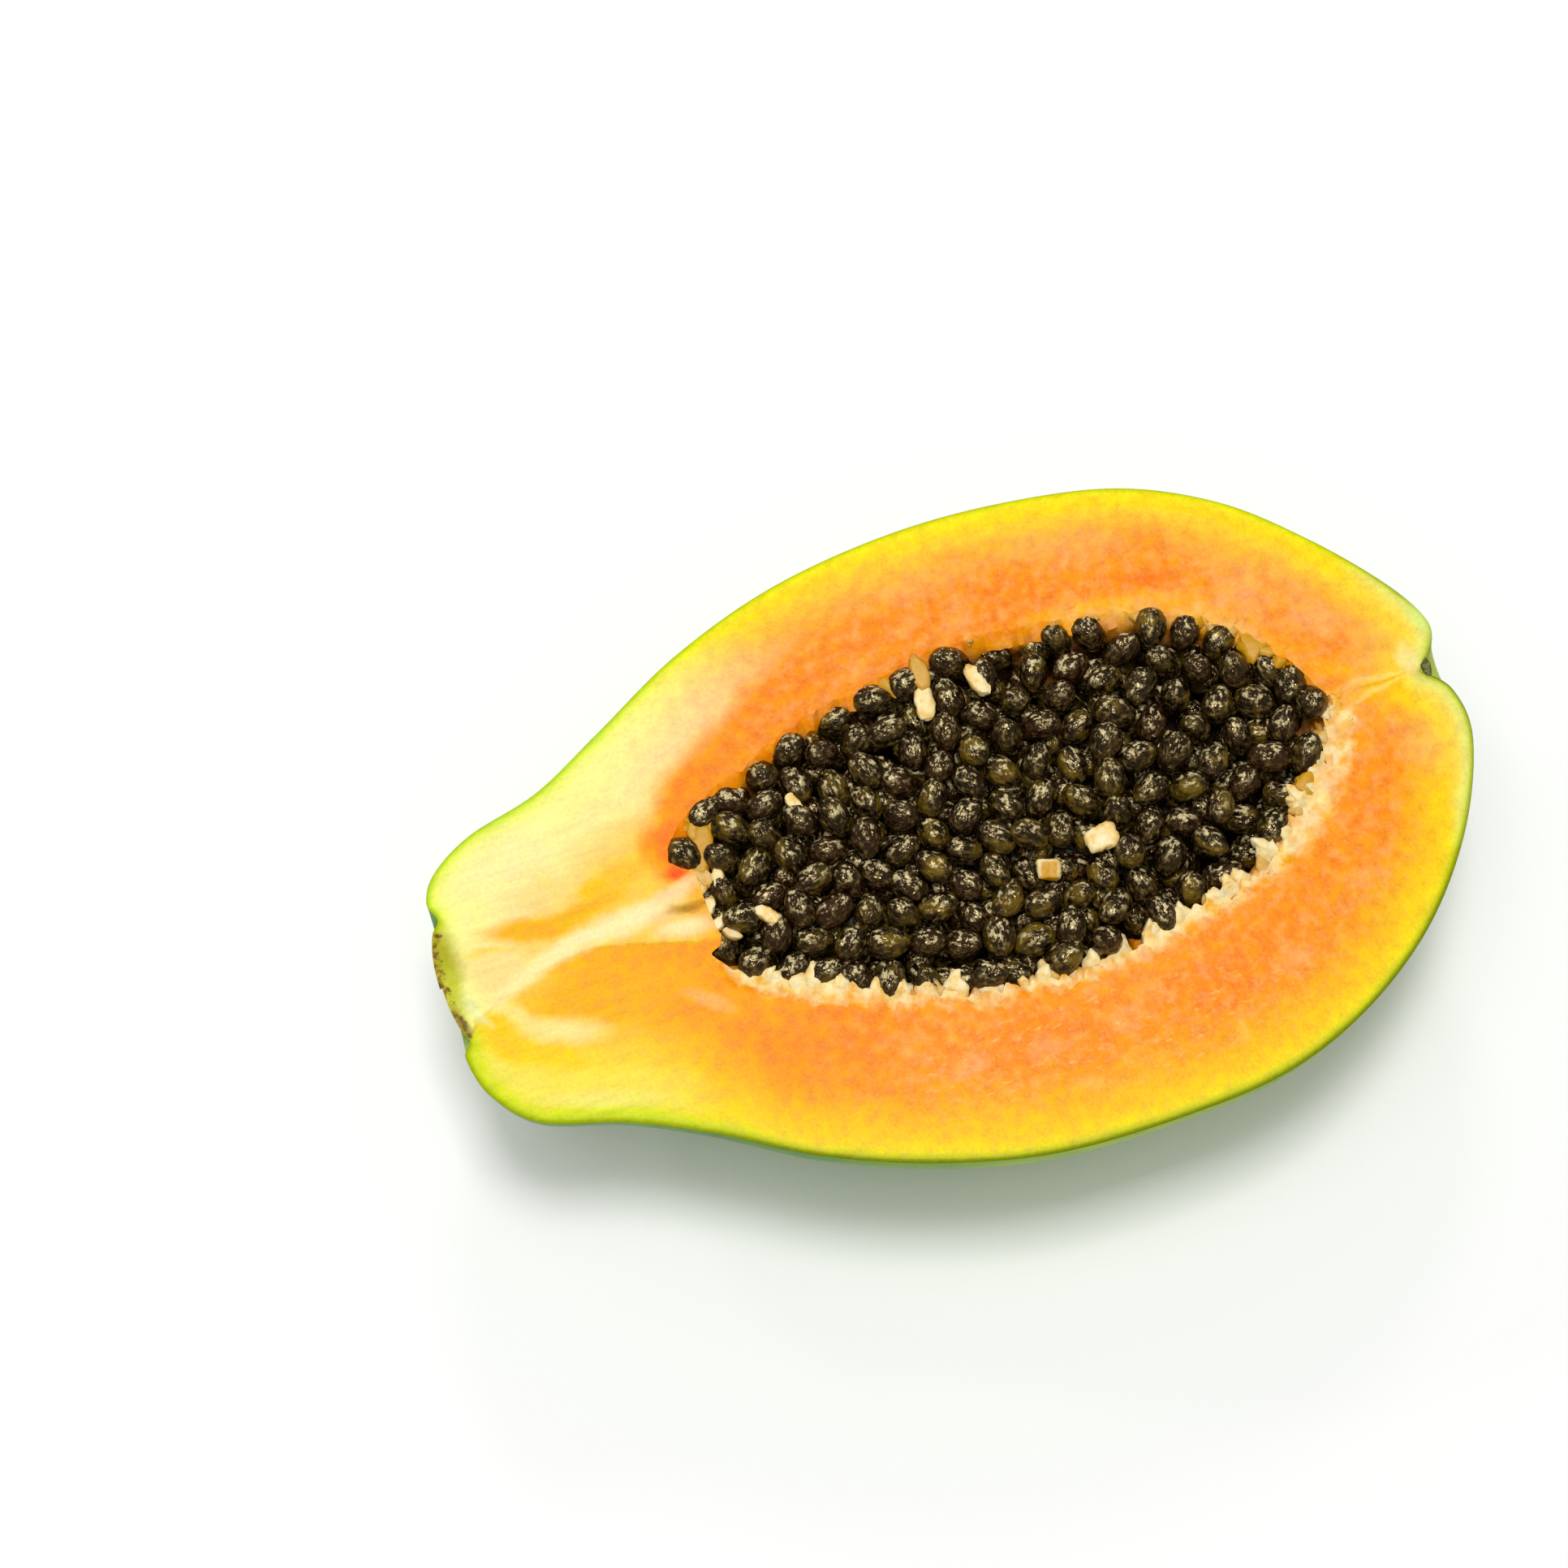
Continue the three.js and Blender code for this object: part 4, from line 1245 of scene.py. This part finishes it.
blossom, points = ball(4)
blossom.name = "papaya_blossom_rest"
points *= REST_HALVES
points *= 1 + 0.4 * (lumps(points, 1.0)[:, None] - 0.5)
points += REST_MIDDLE
points[:, 2] = np.minimum(points[:, 2], -0.1)
put_corners(blossom.data, to_row(points))
bpy.ops.object.shade_smooth()
dry_crust, add, shader = new_material("dried blossom crust")
place = fruit_place(add)
crust_noise = add("TexNoise", Vector=place, Scale=1.2, Detail=4)
crust_colour = add(
    "ValToRGB", Fac=crust_noise, stops=[(0.35, "#2c2a10"), (0.5, "#55521f"), (0.68, "#83854a")]
)
crust_bump = add("Bump", Height=crust_noise, Strength=0.8, Distance=0.0004)
fill(shader, {"Base Color": crust_colour, "Roughness": 0.85, "Normal": crust_bump})
blossom.data.materials.append(dry_crust)
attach(blossom, "root")

# %% [markdown]
# Floor, light and camera
#
# The picture was taken in a white studio: light comes from all round. A small bright box
# nearly overhead draws the shadow close to the fruit, a large one softens it, and two weak
# strips beyond the fruit put short highlights on the seeds. The colours are strong on near
# white, so they are shown as they are, without a film look.

# %% White floor and soft studio light
bpy.ops.mesh.primitive_plane_add(size=6, location=(0, 0, -0.0002))
floor = bpy.context.object
floor.name = "studio_floor"
floor_paint, add, shader = new_material("matt white floor")
fill(shader, {"Base Color": "#fdfdfd", "Roughness": 0.9, "Specular IOR Level": 0})
floor.data.materials.append(floor_paint)

world = bpy.data.worlds.new("white studio")
world.use_nodes = True
fill(world.node_tree.nodes["Background"], {"Color": "#ffffff", "Strength": 0.32})
bpy.context.scene.world = world


def soft_light(name, towards, distance, size, watts):
    """A square light box that faces the fruit from a direction."""
    lamp = bpy.data.lights.new(name, "AREA")
    lamp.size = size
    lamp.energy = watts
    box = bpy.data.objects.new(name, lamp)
    box.location = Vector(towards).normalized() * distance
    box.rotation_euler = Vector(towards).to_track_quat("Z", "Y").to_euler()
    bpy.context.collection.objects.link(box)


soft_light("key above the fruit", (0.0, 0.06, 1.0), 1.3, 0.24, 6.6)
soft_light("strip beyond the fruit", (0.2, 0.8, 0.85), 1.3, 0.18, 1.2)
soft_light("strip to the left", (-0.7, 0.8, 0.9), 1.3, 0.12, 0.6)
soft_light("box overhead", (-0.1, 0.0, 1.0), 1.8, 1.0, 9.8)
view_settings = bpy.context.scene.view_settings
view_settings.view_transform = "Standard"
view_settings.look = "None"

# %% Camera at the photograph's angle
CAMERA_AIM = Vector((-0.02257, 0.01771, 0.04986))
CAMERA_BACK = Vector((-0.08195, -0.24550, 0.96593))
CAMERA_DISTANCE = 0.5821
lens = bpy.data.cameras.new("camera")
lens.lens = 85
lens.sensor_width = 36
camera = bpy.data.objects.new("camera", lens)
camera.location = CAMERA_AIM + CAMERA_BACK.normalized() * CAMERA_DISTANCE
camera.rotation_euler = CAMERA_BACK.to_track_quat("Z", "Y").to_euler()
bpy.context.collection.objects.link(camera)
bpy.context.scene.camera = camera

# %% Print the solid model's box and finish
print("solid box ", [[round(v * 1000, 2) for v in corner] for corner in cad_box])
